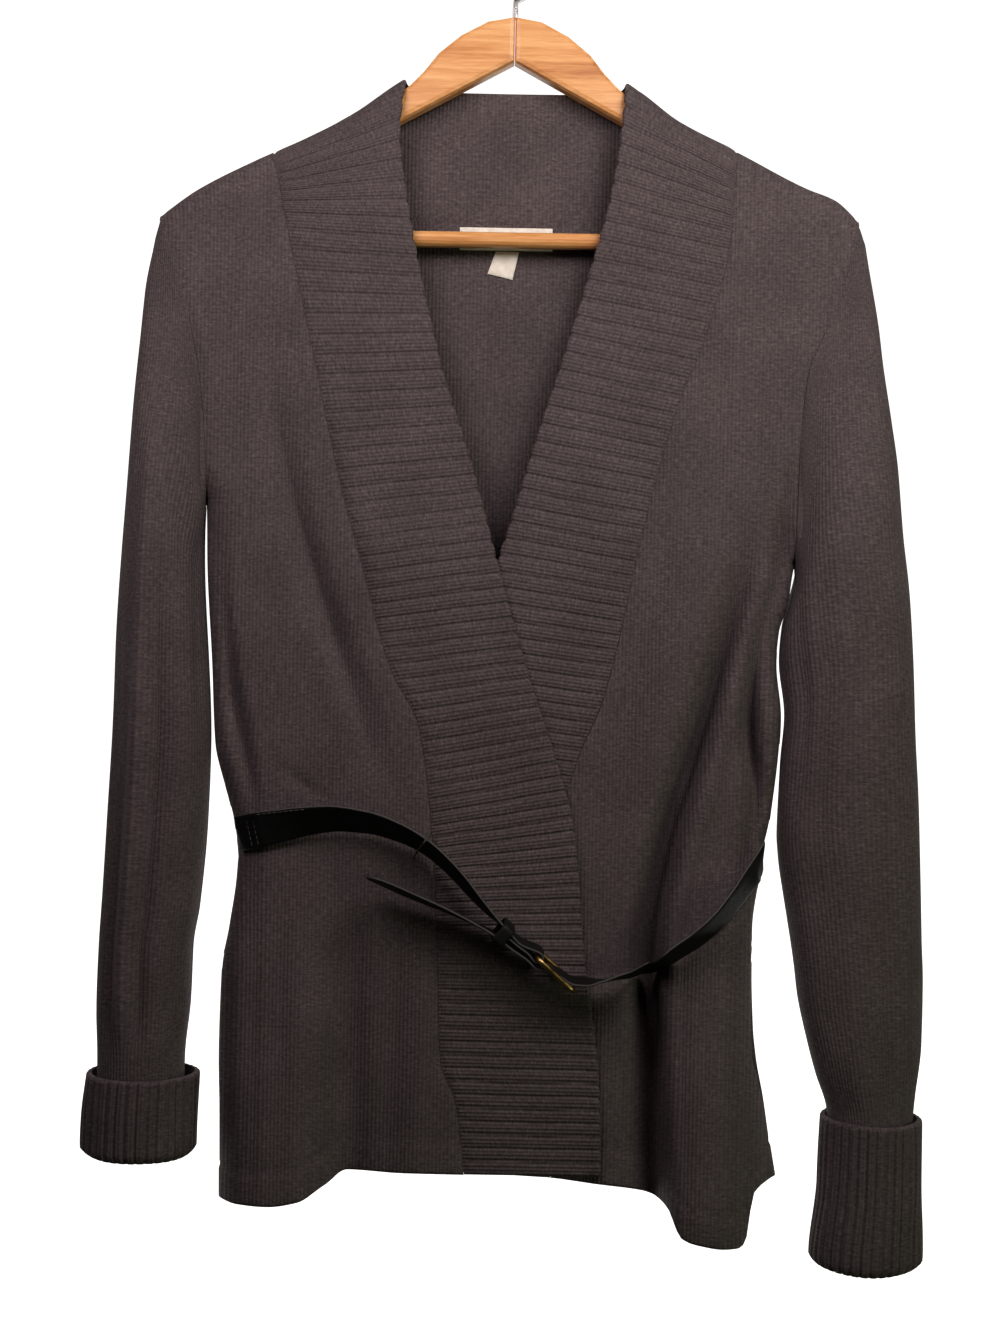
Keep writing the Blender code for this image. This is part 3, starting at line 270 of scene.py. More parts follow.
# One row a section: heights at the outer and the underarm side, half depth, sway in depth
Section = namedtuple("Section", "outer_z inner_z half_depth sway")
SLEEVE_RIGHT_OUTER = (
    (-330, -257), (-250, -258), (-223, -259), (-181, -258.5), (-144, -256.6), (-102, -254),
    (-44, -251), (34, -248), (86, -245.5), (150, -242), (200, -239), (235, -237), (264, -232),
    (282, -228),
)
SLEEVE_RIGHT_INNER = (
    (-330, -203), (-254, -204), (-216, -201), (-181, -200), (-155, -196), (-102, -192),
    (-52, -190), (0, -192.5), (60, -196.8), (100, -197.2),
)
SLEEVE_RIGHT = (
    Section(282, 100, 9, 0), Section(262, 91, 15, 0), Section(236, 80, 21, 0),
    Section(202, 66, 25, -1), Section(160, 48, 28, -2), Section(116, 28, 29, -3),
    Section(70, 4, 30, -4), Section(24, -26, 30, -4), Section(-22, -56, 29, -3),
    Section(-64, -86, 28, -2), Section(-104, -116, 27, -1), Section(-144, -150, 26, 0),
    Section(-184, -186, 25, 1), Section(-224, -224, 23, 1), Section(-258, -258, 22, 0),
    Section(-310.2, -310.2, 21.5, 0),
)
SLEEVE_LEFT_OUTER = (
    (-390, 257), (-300, 257.5), (-268, 259.3), (-234, 262.7), (-194, 263.5), (-168, 262.4),
    (-115, 260), (-75, 258), (-36, 255), (12, 252), (52, 249), (86, 245), (131, 241),
    (158, 237), (195, 231.5), (221, 228.5), (256, 222.5), (272, 219.5), (286, 215),
)
SLEEVE_LEFT_INNER = (
    (-390, 207.5), (-300, 206.5), (-278, 204.8), (-255, 197.5), (-229, 190.5), (-205, 185),
    (-186, 182.5), (-144, 176), (-118, 171.5), (-102, 170), (-60, 171.2), (-30, 173.4),
    (5, 169.9), (25, 171.3), (42, 176.6), (55, 180), (66, 179.8),
)
SLEEVE_LEFT = (
    Section(286, 66, 9, 0), Section(268, 60, 15, 0), Section(242, 50, 21, 0),
    Section(206, 36, 25, 0), Section(160, 16, 28, -1), Section(112, -6, 30, -2),
    Section(62, -30, 30, -3), Section(12, -58, 29, -3), Section(-38, -88, 28, -2),
    Section(-84, -118, 27, -1), Section(-128, -148, 26, 0), Section(-170, -180, 25, 0),
    Section(-212, -215, 24, 0), Section(-250, -250, 22.5, 0), Section(-279, -279, 20.5, 0),
    Section(-330, -330, 20.5, 0), Section(-368, -368, 20.5, 0),
)
CAP_RINGS = 4.0
SLEEVE_HALF_POINTS = 48
RINGS_A_SECTION = 13
# Creases on a sleeve: ring number and share of the way round, from the underarm over the
# front and round the back, half length in rings, half width in share, depth in millimetres
Dent = namedtuple("Dent", "ring around half_length half_width depth")
SLEEVE_RIGHT_DENTS = (
    Dent(12.5, 0.36, 3.2, 0.022, -3.4), Dent(10.0, 0.30, 5.5, 0.021, 4.0),
    Dent(5.0, 0.07, 2.4, 0.03, -3.0), Dent(7.5, 0.20, 2.2, 0.035, -1.6),
    Dent(9.5, 0.40, 2.6, 0.03, -1.8), Dent(4.5, 0.28, 1.8, 0.05, 1.6),
    Dent(6.5, 0.62, 2.6, 0.035, -2.0), Dent(10.5, 0.75, 2.8, 0.035, -2.2),
    Dent(4.5, 0.88, 2.0, 0.03, -2.6), Dent(10.5, 0.24, 5.0, 0.03, -4.2),
)
SLEEVE_LEFT_DENTS = (
    Dent(5.0, 0.10, 2.6, 0.03, -4.0), Dent(6.5, 0.17, 2.8, 0.03, -2.0),
    Dent(9.0, 0.14, 2.6, 0.04, -1.6), Dent(12.0, 0.30, 2.6, 0.04, -1.8),
    Dent(8.0, 0.36, 2.4, 0.05, 1.5), Dent(14.0, 0.22, 1.4, 0.05, 1.8),
    Dent(7.0, 0.64, 2.6, 0.035, -2.2), Dent(11.0, 0.78, 2.8, 0.035, -2.2),
    Dent(5.0, 0.90, 2.0, 0.03, -2.8),
)

# toward_body is 1 where the body lies to the viewer's right, and -1 where it lies to the left
Sleeve = namedtuple("Sleeve", "node sections outer_edge inner_edge armhole toward_body dents flat arm")
SLEEVES = (
    Sleeve(
        "sleeve_right", SLEEVE_RIGHT, SLEEVE_RIGHT_OUTER, SLEEVE_RIGHT_INNER, ARMHOLE_RIGHT, 1,
        SLEEVE_RIGHT_DENTS, (0.175, 0.52), "hanger_arm_right",
    ),
    Sleeve(
        "sleeve_left", SLEEVE_LEFT, SLEEVE_LEFT_OUTER, SLEEVE_LEFT_INNER, ARMHOLE_LEFT, -1,
        SLEEVE_LEFT_DENTS, (0.19, 0.56), "hanger_arm_left",
    ),
)

CuffSection = namedtuple("CuffSection", "z outer inner half_depth")
CUFF_RIGHT = (
    CuffSection(-312.5, -262, -199, 24.5), CuffSection(-307, -268, -194.6, 27.5),
    CuffSection(-285, -267.5, -194.4, 27.5), CuffSection(-260.5, -265.5, -194.2, 27),
)
CUFF_LEFT = (
    CuffSection(-374.5, 260, 199, 25), CuffSection(-369, 266, 194.5, 28),
    CuffSection(-325, 265, 199.5, 27.5), CuffSection(-281, 264.8, 201, 26.5),
)
CUFF_RIBS = 34
CUFF_LOW = 2.0
CUFF_HIGH = 3.3

# Belt stations: position across, height, and how far the strap's upper edge has leant out
Station = namedtuple("Station", "x z turn")
STRAP_RIGHT = (
    Station(-172, -109, 0), Station(-170, -108.6, 0), Station(-167, -108, 0),
    Station(-163, -107, 3), Station(-158, -106, 8), Station(-152, -104.8, 14),
    Station(-145, -103.5, 20), Station(-130, -100.5, 31), Station(-110, -98.5, 40),
    Station(-90, -100.5, 47), Station(-70, -106.5, 54), Station(-55, -114, 60),
    Station(-42, -124, 64), Station(-30, -136, 67), Station(-20, -147.5, 71),
    Station(-10, -158, 77), Station(0, -167, 85), Station(9, -174.6, 90),
)
STRAP_LEFT = (
    Station(161, -121, 40), Station(158, -126, 44), Station(154, -132, 48), Station(145, -145, 52),
    Station(133, -160, 53), Station(120, -171.5, 54), Station(105, -182, 57),
    Station(90, -189.5, 62), Station(75, -195, 70), Station(60, -198.6, 80),
    Station(50, -199.4, 90),
)
TAIL = (
    Station(4, -178.2, 90), Station(-8, -170, 86), Station(-20, -164, 81),
    Station(-40, -155, 76), Station(-60, -147, 73), Station(-78, -139.5, 72), Station(-90, -135, 72),
)
STRAP_WIDTH = 22.0
STRAP_THICKNESS = 1.8
TAIL_POINT = 26.0
BELT_MIDDLE_Y = -45.5
BELT_CLEARANCE = 1.8
SEWN_CLEARANCE = 0.5
SEWN_LENGTH = 14.0
FREE_TURN = 55.0
CARRIER_X = -55.0
CARRIER_THREAD = 1.4
STRAND_THREAD = 0.8
STRAND_OFFSET = 0.34
STRAND_TURN = 1.3
BUCKLE_WIRE = 3.4
BUCKLE_LENGTH = 32.0
BUCKLE_WIDTH = 31.4
BUCKLE_UPPER = (19.5, -182.5)
BUCKLE_LOWER = (41.5, -202.0)
BUCKLE_CORNER = 4.0
LOOP_GAP = 0.6
KEEPER_HALF_DEPTH = 5.6
KEEPER_OUTSIDE = (
    (-4.0, 0.5), (-3.7, 1.1), (-3.0, 1.4), (0.0, 1.5), (3.0, 1.4), (3.7, 1.1), (4.0, 0.5),
)
STITCH_THREAD = 0.7
# Rows of stitches across the right strap's sewn end, and the row along its upper edge
STITCH_ROWS_X = (-165.0, -161.0)
STITCH_TOP_X = (-158, -128)

# Labels, corners from the lower left round to the upper left as (position across, height)
NECK_LABEL = ((-38, 264), (21, 264), (21, 278.5), (-38, 278.5))
CARE_LABEL = ((-20, 249), (-4, 245.5), (0, 263.2), (-15, 263.4))
LABEL_LIFT = 0.35
LABEL_EDGE = (0.3, 0.8, 1.6)
LABEL_STITCH_X = (-36.6, 19.6)

# Colours along a material's own pattern, as (share, sRGB hex value)
KNIT_SHADES = ((0.30, "312A2B"), (0.46, "443C3D"), (0.58, "544B4C"), (0.75, "726869"))
# The leather's lightest stops are reached only by the painted highlight along the strap's upper edge
LEATHER_SHADES = ((0.0, "080808"), (0.28, "0F0F10"), (0.6, "1D1C1D"), (1.0, "434140"))
BRASS_SHADES = ((0.3, "5C4A2C"), (0.5, "A98B50"), (0.75, "D2B878"))
WOOD_SHADES = ((0.36, "A8672F"), (0.48, "C98B50"), (0.58, "D9A066"), (0.72, "E6B881"))
STEEL_SHADES = ((0.35, "A9A9AA"), (0.65, "C9C9C8"))
LABEL_SHADES = ((0.3, "CFC6B8"), (0.7, "E9E4DA"))
THREAD_SHADES = ((0.3, "242122"), (0.7, "4A4544"))
PAPER_SHADES = ((0.3, "F2F1EF"), (0.7, "F6F5F3"))

# How much each pattern adds to the knit's shade and relief
KNIT_PARTS = {
    "stitches in the pattern": 0.07,
    "marl in the shade": 0.62,
    "speckle in the shade": 0.38,
    "patches in the shade": 0.18,
    "pattern in the shade": 0.026,
    "fibres in the relief": 1.1,
    "pattern in the relief": 0.3,
}

# Studio, in metres and watts. The two keys stand close in front of the shoulders, so their
# light falls off quickly down the garment.
WORLD_STRENGTH = 0.012
PAPER_GLOW = 1.15
FLOOR_Z = -1.95
FLOOR_FRONT_Y = 0.7
PAPER_Y = 1.9
PAPER_TOP_Z = 2.6
PAPER_BEND = 0.6
PAPER_REACH = 4.0
Light = namedtuple("Light", "name place aim size power colour")
LIGHTS = (
    Light("key_left", (-0.3, -0.45, 0.0), (-0.12, 0, -0.3), 0.35, 2.45, "FFF0EF"),
    Light("key_right", (0.3, -0.45, 0.0), (0.12, 0, -0.3), 0.35, 3.1, "FFF6F2"),
    Light("low_left", (-1.1, -1.2, -0.7), (0, 0, -0.6), 0.8, 0.15, "FFDCEA"),
    Light("low_right", (0.95, -0.75, -0.75), (0.15, 0, -0.8), 0.6, 2.3, "F0FFD0"),
)


def curve(table):
    """A smooth function through the table's (position, value) rows, with no overshoot."""
    rows = sorted((float(row[0]), float(row[1])) for row in table)
    at = np.array([row[0] for row in rows])
    value = np.array([row[1] for row in rows])
    step = np.diff(at)
    rise = np.diff(value) / step
    slope = np.zeros(len(at))
    slope[0], slope[-1] = rise[0], rise[-1]
    for i in range(1, len(at) - 1):
        if rise[i - 1] * rise[i] > 0:
            slope[i] = 2 * rise[i - 1] * rise[i] / (rise[i - 1] + rise[i])

    def through(position):
        position = np.clip(np.asarray(position, float), at[0], at[-1])
        i = np.clip(np.searchsorted(at, position, side="right") - 1, 0, len(step) - 1)
        t = (position - at[i]) / step[i]
        return (
            value[i] * (1 + 2 * t) * (1 - t) ** 2
            + value[i + 1] * t * t * (3 - 2 * t)
            + step[i] * t * (1 - t) * (slope[i] * (1 - t) - slope[i + 1] * t)
        )

    return through


def ramp(t):
    """0 below 0, 1 above 1, and smooth between."""
    t = np.clip(t, 0, 1)
    return t * t * (3 - 2 * t)


def mix(a, b, t):
    return a * (1 - t) + b * t


side_right = curve(SIDE_RIGHT)
side_left = curve(SIDE_LEFT)
top_of = curve(TOP)
front_depth = curve(FRONT_DEPTH)
back_depth = curve(BACK_DEPTH)
hem_front = curve(HEM_FRONT)
hem_back = curve(HEM_BACK)


def fold_function(fold):
    """The depth of a fold at any place. It ends where its own depth at that end is nothing."""
    centre = curve(fold.path)
    highest, lowest = fold.path[0][0], fold.path[-1][0]
    depth = curve(((0, fold.top), (0.5, fold.middle), (1, fold.bottom)))

    def at(x, z):
        along = (highest - z) / (highest - lowest)
        above = (along < 0) & (fold.top == 0)
        below = (along > 1) & (fold.bottom == 0)
        size = depth(along) * np.exp(-np.abs((x - centre(z)) / fold.half_width) ** 3)
        return np.where(above | below, 0, size)

    return at


front_folds = [fold_function(fold) for fold in FRONT_FOLDS + FRONT_CREASES]
back_folds = [fold_function(fold) for fold in BACK_FOLDS + BACK_CREASES]


def ripple(x, z, phase):
    """The slight unevenness of a worn knit, up to half a millimetre."""
    return 0.18 * (
        np.sin(x / 13.1 + z / 41.0 + phase) + np.sin(x / 29.0 - z / 17.3 + 2 * phase) * 0.8
        + np.sin(z / 11.7 + x / 37.0 - phase) * 0.6
    )


def turned(distance, radius):
    """Quarter-round share of the full depth at a distance in from an edge."""
    t = np.clip(distance / radius, 0, 1)
    return np.sqrt(np.clip(1 - (1 - t) ** 2, 0, 1))


def shoulder_z(x):
    """Height of the shoulders' crest on the inside of the cloth."""
    return top_of(x) - CREST_DROP


def inside_y(x, z, layer):
    """Depth of the inside of a layer: "outer" or "inner" front, or "back"."""
    if layer == "back":
        depth = back_depth(z) + sum(fold(x, z) for fold in back_folds) + ripple(x, z, 0.4)
    else:
        depth = front_depth(z) + sum(fold(x, z) for fold in front_folds) + ripple(x, z, 1.7)
    if layer == "outer":
        over = ramp((LAP_TOP_Z - z) / LAP_RISE) * ramp((x - LAP_START_X) / LAP_SPREAD)
        depth = depth + LAP * over
    edge = turned(x - side_right(z) - WALL, SIDE_TURN) * turned(side_left(z) - WALL - x, SIDE_TURN)
    crest = turned((shoulder_z(x) - z) * math.cos(SHOULDER_SLOPE), SHOULDER_TURN)
    y = SEAM_GAP + (depth - SEAM_GAP) * edge * crest
    return y if layer == "back" else -y


def outward(x, z, layer):
    """Unit normals of a layer, pointing out of the garment."""
    from_side = np.minimum(x - side_right(z), side_left(z) - x) - WALL
    across = np.clip(from_side, *SLOPE_STEPS)
    up = np.clip(shoulder_z(x) - z, *SLOPE_STEPS)
    slope_x = (inside_y(x + across, z, layer) - inside_y(x - across, z, layer)) / (2 * across)
    slope_z = (inside_y(x, z + up, layer) - inside_y(x, z - up, layer)) / (2 * up)
    sign = -1 if layer == "back" else 1
    normal = np.stack([sign * slope_x, -sign * np.ones_like(slope_x), sign * slope_z], axis=-1)
    return normal / np.linalg.norm(normal, axis=-1, keepdims=True)


def to_frame(points):
    """From the picture's middle to the part's own origin, still in millimetres."""
    return points - np.array([HANGER_X, 0, HOOK_TOP_Z])


def seen_at(points):
    """Each point moved along its line of sight to its own depth, in the part's frame."""
    moved = points.copy()
    reach = (VIEW_DISTANCE + points[..., 1]) / VIEW_DISTANCE
    moved[..., 0] = VIEW_X + (points[..., 0] - VIEW_X) * reach
    moved[..., 2] = points[..., 2] * reach
    return to_frame(moved)


def on_layer(x, z, layer, height):
    """Points standing a height above the inside of a layer."""
    base = np.stack([x, inside_y(x, z, layer), z], axis=-1)
    return seen_at(base + outward(x, z, layer) * np.asarray(height)[..., None])


def even_rows(length):
    """Shares from 0 to 1, about MESH_STEP apart along a length."""
    return np.linspace(0, 1, int(round(length / MESH_STEP)) + 1)


def body_rows():
    """Shares of the way from hem to underarm, close together at the hem's edge."""
    hem = np.array([0, 0.5, 1.2, 2.4]) / BODY_LENGTH
    return np.concatenate([hem, even_rows(BODY_LENGTH)[2:-1]])


def arm_rows(length):
    """Shares of the way from underarm to shoulder, ever closer together at the crest."""
    rows = even_rows(length)
    return np.concatenate([rows[:-2], 1 - np.geomspace(1 - rows[-2], 0.0006, 9), [1.0]])


def with_fine_edges(count, length, fine=(0.5, 1.2, 2.2)):
    """Shares from 0 to 1, closer together at both ends, over a length in millimetres."""
    ends = [distance / length for distance in fine]
    middle = np.linspace(ends[-1], 1 - ends[-1], count)[1:-1]
    return np.array([0, *ends, *middle, *[1 - e for e in reversed(ends)], 1])


def put_mesh(name, points, quads, uv, material):
    """A closed mesh of quads from points in millimetres, with a UV map in metres."""
    mesh = bpy.data.meshes.new(name)
    mesh.vertices.add(len(points))
    mesh.vertices.foreach_set("co", (points * MM).astype(np.float32).ravel())
    mesh.loops.add(quads.size)
    mesh.loops.foreach_set("vertex_index", quads.astype(np.int32).ravel())
    mesh.polygons.add(len(quads))
    mesh.polygons.foreach_set("loop_start", np.arange(0, quads.size, 4, dtype=np.int32))
    mesh.polygons.foreach_set("loop_total", np.full(len(quads), 4, dtype=np.int32))
    mesh.update(calc_edges=True)
    layer = mesh.uv_layers.new(name="cloth")
    layer.data.foreach_set("uv", (uv * MM)[quads.ravel()].astype(np.float32).ravel())
    bm = bmesh.new()
    bm.from_mesh(mesh)
    bmesh.ops.recalc_face_normals(bm, faces=bm.faces)
    bm.to_mesh(mesh)
    bm.free()
    mesh.shade_smooth()
    mesh.set_sharp_from_angle(angle=math.radians(60))
    mesh.materials.append(material)
    piece = bpy.data.objects.new(name, mesh)
    bpy.context.scene.collection.objects.link(piece)
    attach(piece, "root")
    return piece


def grid_quads(rows, columns, first, closed):
    """Quads between neighbouring rows of a grid of points numbered from first."""
    number = first + np.arange(rows * columns).reshape(rows, columns)
    if closed:
        number = np.vstack([number, number[:1]])
    a, b = number[:-1, :-1], number[:-1, 1:]
    c, d = number[1:, 1:], number[1:, :-1]
    return np.stack([a, b, c, d], axis=-1).reshape(-1, 4), number


def wall(name, inner, outer, uv, material, closed=False):
    """A wall between an inner and an outer grid of points in millimetres."""
    rows, columns = inner.shape[:2]
    inside, inner_number = grid_quads(rows, columns, 0, closed)
    outside, outer_number = grid_quads(rows, columns, rows * columns, closed)
    rims = []
    for j in (0, columns - 1):
        a, b = inner_number[:-1, j], inner_number[1:, j]
        c, d = outer_number[1:, j], outer_number[:-1, j]
        rims.append(np.stack([a, b, c, d], axis=-1))
    if not closed:
        for i in (0, rows - 1):
            a, b = inner_number[i, :-1], inner_number[i, 1:]
            c, d = outer_number[i, 1:], outer_number[i, :-1]
            rims.append(np.stack([a, b, c, d], axis=-1))
    points = np.concatenate([inner.reshape(-1, 3), outer.reshape(-1, 3)])
    flat = np.concatenate([uv.reshape(-1, 2), uv.reshape(-1, 2)])
    return put_mesh(name, points, np.concatenate([inside, outside, *rims]), flat, material)


def rounded_edge(distance):
    """Share of a wall's thickness at a distance in from its free edge."""
    return EDGE_THINNEST + (1 - EDGE_THINNEST) * turned(distance, EDGE_ROUND)


def seam_dip(distance):
    """How far the cloth sinks towards a seam at a distance from it."""
    return SEAM_DIP * (1 - ramp(distance / SEAM_ROUND))


def hem_relief(z, hem_z):
    """Extra thickness of the turned hem, with the line of its stitching."""
    rise = z - hem_z
    welt = WELT_RAISE * (1 - ramp((rise - WELT_HEIGHT + WELT_STEP) / WELT_STEP))
    line = WELT_GROOVE * np.exp(-((rise - WELT_HEIGHT) / WELT_GROOVE_WIDTH) ** 2)
    return welt - line


def front_grid(side_x, seam_x, armhole, seam_top):
    """Positions and heights of a front's grid, hem to shoulder."""
    arm_x = curve(armhole)
    underarm, tip = armhole[0][0], armhole[-1][0]
    side_hem, seam_hem = hem_front(side_x(-330)), hem_front(seam_x(-323))
    across = with_fine_edges(FRONT_COLUMNS, FRONT_WIDTH)
    xs, zs = [], []
    for q in body_rows():
        side_z, seam_z = mix(side_hem, underarm, q), mix(seam_hem, underarm, q)
        x = mix(side_x(side_z), seam_x(seam_z), across)
        xs.append(x)
        zs.append(mix(hem_front(x), underarm, q))
    for s in arm_rows(FRONT_ARM_LENGTH):
        side_z, seam_z = mix(underarm, tip, s), mix(underarm, seam_top, s)
        x0, x1 = arm_x(side_z), seam_x(seam_z)
        share0 = (side_z - underarm) / (shoulder_z(x0) - underarm)
        share1 = (seam_z - underarm) / (shoulder_z(x1) - underarm)
        if s == 1:
            share0 = share1 = 1.0
        x = mix(x0, x1, across)
        xs.append(x)
        zs.append(mix(underarm, shoulder_z(x), mix(share0, share1, across)))
    return np.array(xs), np.array(zs)


def cloth_panel(name, x, z, layer, hem_z, edges, material):
    """A plain knitted panel; edges gives the distance of each point from its side seams."""
    height = WALL + hem_relief(z, hem_z) - seam_dip(edges)
    height = height * rounded_edge(z - hem_z)
    inner = on_layer(x, z, layer, np.zeros_like(x))
    outer = on_layer(x, z, layer, height)
    return wall(name, inner, outer, np.stack([x, z], axis=-1), material)


def make_front(node, side_x, seam_x, armhole, seam_top, layer, material):
    """One front between its side seam and the seam of its ribbed band."""
    x, z = front_grid(side_x, seam_x, armhole, seam_top)
    edges = np.abs(x[:, -1:] - x)
    beside_sleeve = z[:, :1] > armhole[0][0]
    edges = np.where(beside_sleeve, np.minimum(edges, np.abs(x - x[:, :1])), edges)
    piece = cloth_panel(node + "_knit", x, z, layer, hem_front(x), edges, material)
    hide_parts(node)


def make_fronts(material):
    """The two fronts; the wearer's right one is the outer one of the wrap."""
    right_seam, left_seam = curve(BAND_RIGHT_SEAM), curve(BAND_LEFT_SEAM)
    make_front(
        "front_right", lambda z: side_right(z) + WALL, lambda z: right_seam(z) - SEAM_GAP,
        ARMHOLE_RIGHT, SEAM_TOP_RIGHT, "outer", material,
    )
    make_front(
        "front_left", lambda z: side_left(z) - WALL, lambda z: left_seam(z) + SEAM_GAP,
        ARMHOLE_LEFT, SEAM_TOP_LEFT, "inner", material,
    )


def back_edge():
    """Upper edge of the back as a function of the position across."""
    neckline = curve(NECKLINE)

    def upper_edge(x):
        inside = (x > NECKLINE[0][0] + 0.5) & (x < NECKLINE[-1][0] - 0.5)
        return np.where(inside, neckline(x), shoulder_z(x))

    return upper_edge


def make_back(material):
    """The back in one piece, hem to shoulders, with the neckline cut into its upper edge."""
    upper_edge = back_edge()
    right_arm, left_arm = curve(ARMHOLE_RIGHT), curve(ARMHOLE_LEFT)
    corners = [(NECKLINE[k][0] + BACK_WIDTH / 2) / BACK_WIDTH for k in (0, -1)]
    across = with_fine_edges(BACK_COLUMNS, BACK_WIDTH)
    across = np.unique(np.concatenate([across, corners, [corners[0] + 0.003, corners[1] - 0.003]]))
    underarm0, underarm1 = ARMHOLE_RIGHT[0][0], ARMHOLE_LEFT[0][0]
    tip0, tip1 = ARMHOLE_RIGHT[-1][0], ARMHOLE_LEFT[-1][0]
    xs, zs = [], []
    for q in body_rows():
        x0 = side_right(mix(HEM_BACK[0][1], underarm0, q)) + WALL
        x1 = side_left(mix(HEM_BACK[-1][1], underarm1, q)) - WALL
        x = mix(x0, x1, across)
        xs.append(x)
        zs.append(mix(hem_back(x), mix(underarm0, underarm1, across), q))
    for s in arm_rows(BACK_ARM_LENGTH):
        z0, z1 = mix(underarm0, tip0, s), mix(underarm1, tip1, s)
        x0, x1 = right_arm(z0), left_arm(z1)
        x = mix(x0, x1, across)
        low = mix(underarm0, underarm1, across)
        share0 = 1.0 if s == 1 else (z0 - underarm0) / (shoulder_z(x0) - underarm0)
        share1 = 1.0 if s == 1 else (z1 - underarm1) / (shoulder_z(x1) - underarm1)
        xs.append(x)
        zs.append(mix(low, upper_edge(x), mix(share0, share1, across)))
    x, z = np.array(xs), np.array(zs)
    beside_sleeve = z[:, :1] > underarm0
    far_off = 99
    edges = np.where(beside_sleeve, np.minimum(np.abs(x - x[:, :1]), np.abs(x - x[:, -1:])), far_off)
    neck = (x > NECKLINE[0][0]) & (x < NECKLINE[-1][0])
    edges = np.where(neck, np.minimum(edges, upper_edge(x) - z), edges)
    piece = cloth_panel("back_knit", x, z, "back", hem_back(x), edges, material)
    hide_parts("back")


def rib_edges(lowest, highest):
    """Heights on the free edge where one rib ends and the next begins."""
    pitch = curve(RIB_PITCH)
    edges = [lowest]
    while edges[-1] < highest:
        edges.append(edges[-1] + float(pitch(edges[-1])))
    share = (highest - lowest) / (edges[-1] - lowest)
    return lowest + (np.array(edges) - lowest) * share


def rib_profile(phase):
    """Raised share at a rib's phase: a narrow rounded groove at each whole number."""
    away = np.abs(phase - np.round(phase)) / RIB_GROOVE
    crown = RIB_CROWN * np.sin(np.pi * (phase - np.floor(phase)))
    return ramp(away) * (1 - RIB_CROWN + crown)


def ribbed_band(name, seam_at, free_at, edges, layer, crest_rows, crest_length, material):
    """A ribbed strip between two rails. The rows listed in crest_rows lie on the shoulders'
    crest, and the rows within crest_length of them bow to meet it. The ribs keep to their own
    straight lines, and run out at the crest."""
    across = with_fine_edges(BAND_COLUMNS, BAND_WIDTH)
    row_phase = np.linspace(0, len(edges) - 1, (len(edges) - 1) * ROWS_A_RIB + 1)
    positions = np.interp(row_phase, np.arange(len(edges)), edges)
    seam_x, seam_z = seam_at(positions)
    free_x, free_z = free_at(positions)
    x = mix(seam_x[:, None], free_x[:, None], across)
    z = mix(seam_z[:, None], free_z[:, None], across)
    phase = np.broadcast_to(row_phase[:, None], z.shape).copy()
    for row in crest_rows:
        near = ramp(1 - np.abs(positions - positions[row]) / crest_length)
        z = z + near[:, None] * (shoulder_z(x[row]) - z[row])
    if layer != "back":
        rib_z = mix(seam_z[:, None], positions[:, None], across)
        for column in range(len(across)):
            phase[:, column] = np.interp(z[:, column], rib_z[:, column], row_phase)
    # Knitted ribs waver a little along their length
    waver = 0.05 * np.sin(x / 12 + z / 23) + 0.035 * np.sin(x / 5.3 - z / 31)
    profile = rib_profile(phase + waver * (layer != "back"))
    width = np.hypot(free_x - seam_x, free_z - seam_z)[:, None]
    from_seam, from_free = across * width, (1 - across) * width
    raised = profile * ramp(from_seam / 3.5)
    # Each rib's end swells a little past the groove beside it
    swell = (profile - 0.6) * 0.9 * (1 - ramp(from_free / 5)) * (layer != "back")
    x = x + swell * np.sign(free_x - seam_x)[:, None]
    height = mix(RIB_LOW, RIB_HIGH, raised) * rounded_edge(from_free) - seam_dip(from_seam) * 0.6
    inner = on_layer(x, z, layer, np.zeros_like(x))
    outer = on_layer(x, z, layer, height)
    along = np.concatenate([[0], np.cumsum(np.hypot(np.diff(free_x), np.diff(free_z)))])
    uv = np.stack([np.interp(phase, row_phase, along), across * width], axis=-1)
    if layer == "back":
        uv = np.stack([x, z], axis=-1)
    return wall(name, inner, outer, uv, material)


def make_band(name, free, seam, seam_top, slant, layer, side, material):
    """A front's ribbed band, whose ribs run from its free edge to the seam edge."""
    free_x, seam_height, seam_x = curve(free), curve(slant), curve(seam)
    edges = rib_edges(free[0][0], free[-1][0])

    def free_at(z):
        x = free_x(z)
        return x, np.minimum(z, shoulder_z(x))

    def seam_at(z):
        height = np.clip(seam_height(z), free[0][0] - 4, seam_top)
        return seam_x(height) + side * SEAM_GAP, height

    return ribbed_band(name, seam_at, free_at, edges, layer, (-1,), BAND_CREST_LENGTH, material)


def make_bands(material):
    """Both front bands, and the collar between them behind the neck."""
    right = make_band(
        "band_right_knit", BAND_RIGHT_FREE, BAND_RIGHT_SEAM, SEAM_TOP_RIGHT, BAND_RIGHT_SLANT,
        "outer", 1, material,
    )
    left = make_band(
        "band_left_knit", BAND_LEFT_FREE, BAND_LEFT_SEAM, SEAM_TOP_LEFT, BAND_LEFT_SLANT,
        "inner", -1, material,
    )
    upper_edge = back_edge()
    seam_x = curve(COLLAR_SEAM)
    free_x = curve([(share, x) for share, x, _ in COLLAR_FREE])
    free_z = curve([(share, z) for share, _, z in COLLAR_FREE])

    def seam_at(t):
        x = seam_x(t)
        return x, np.minimum(upper_edge(x) + SEAM_GAP * 2, shoulder_z(x))

    def free_at(t):
        x = free_x(t)
        return x, np.minimum(free_z(t), shoulder_z(x))

    edges = np.linspace(0, 1, COLLAR_RIBS + 1)
    collar = ribbed_band(
        "collar_back_knit", seam_at, free_at, edges, "back", (0, -1), COLLAR_CREST_LENGTH, material,
    )
    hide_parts("band_right")
    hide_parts("band_left")
    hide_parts("collar_back")


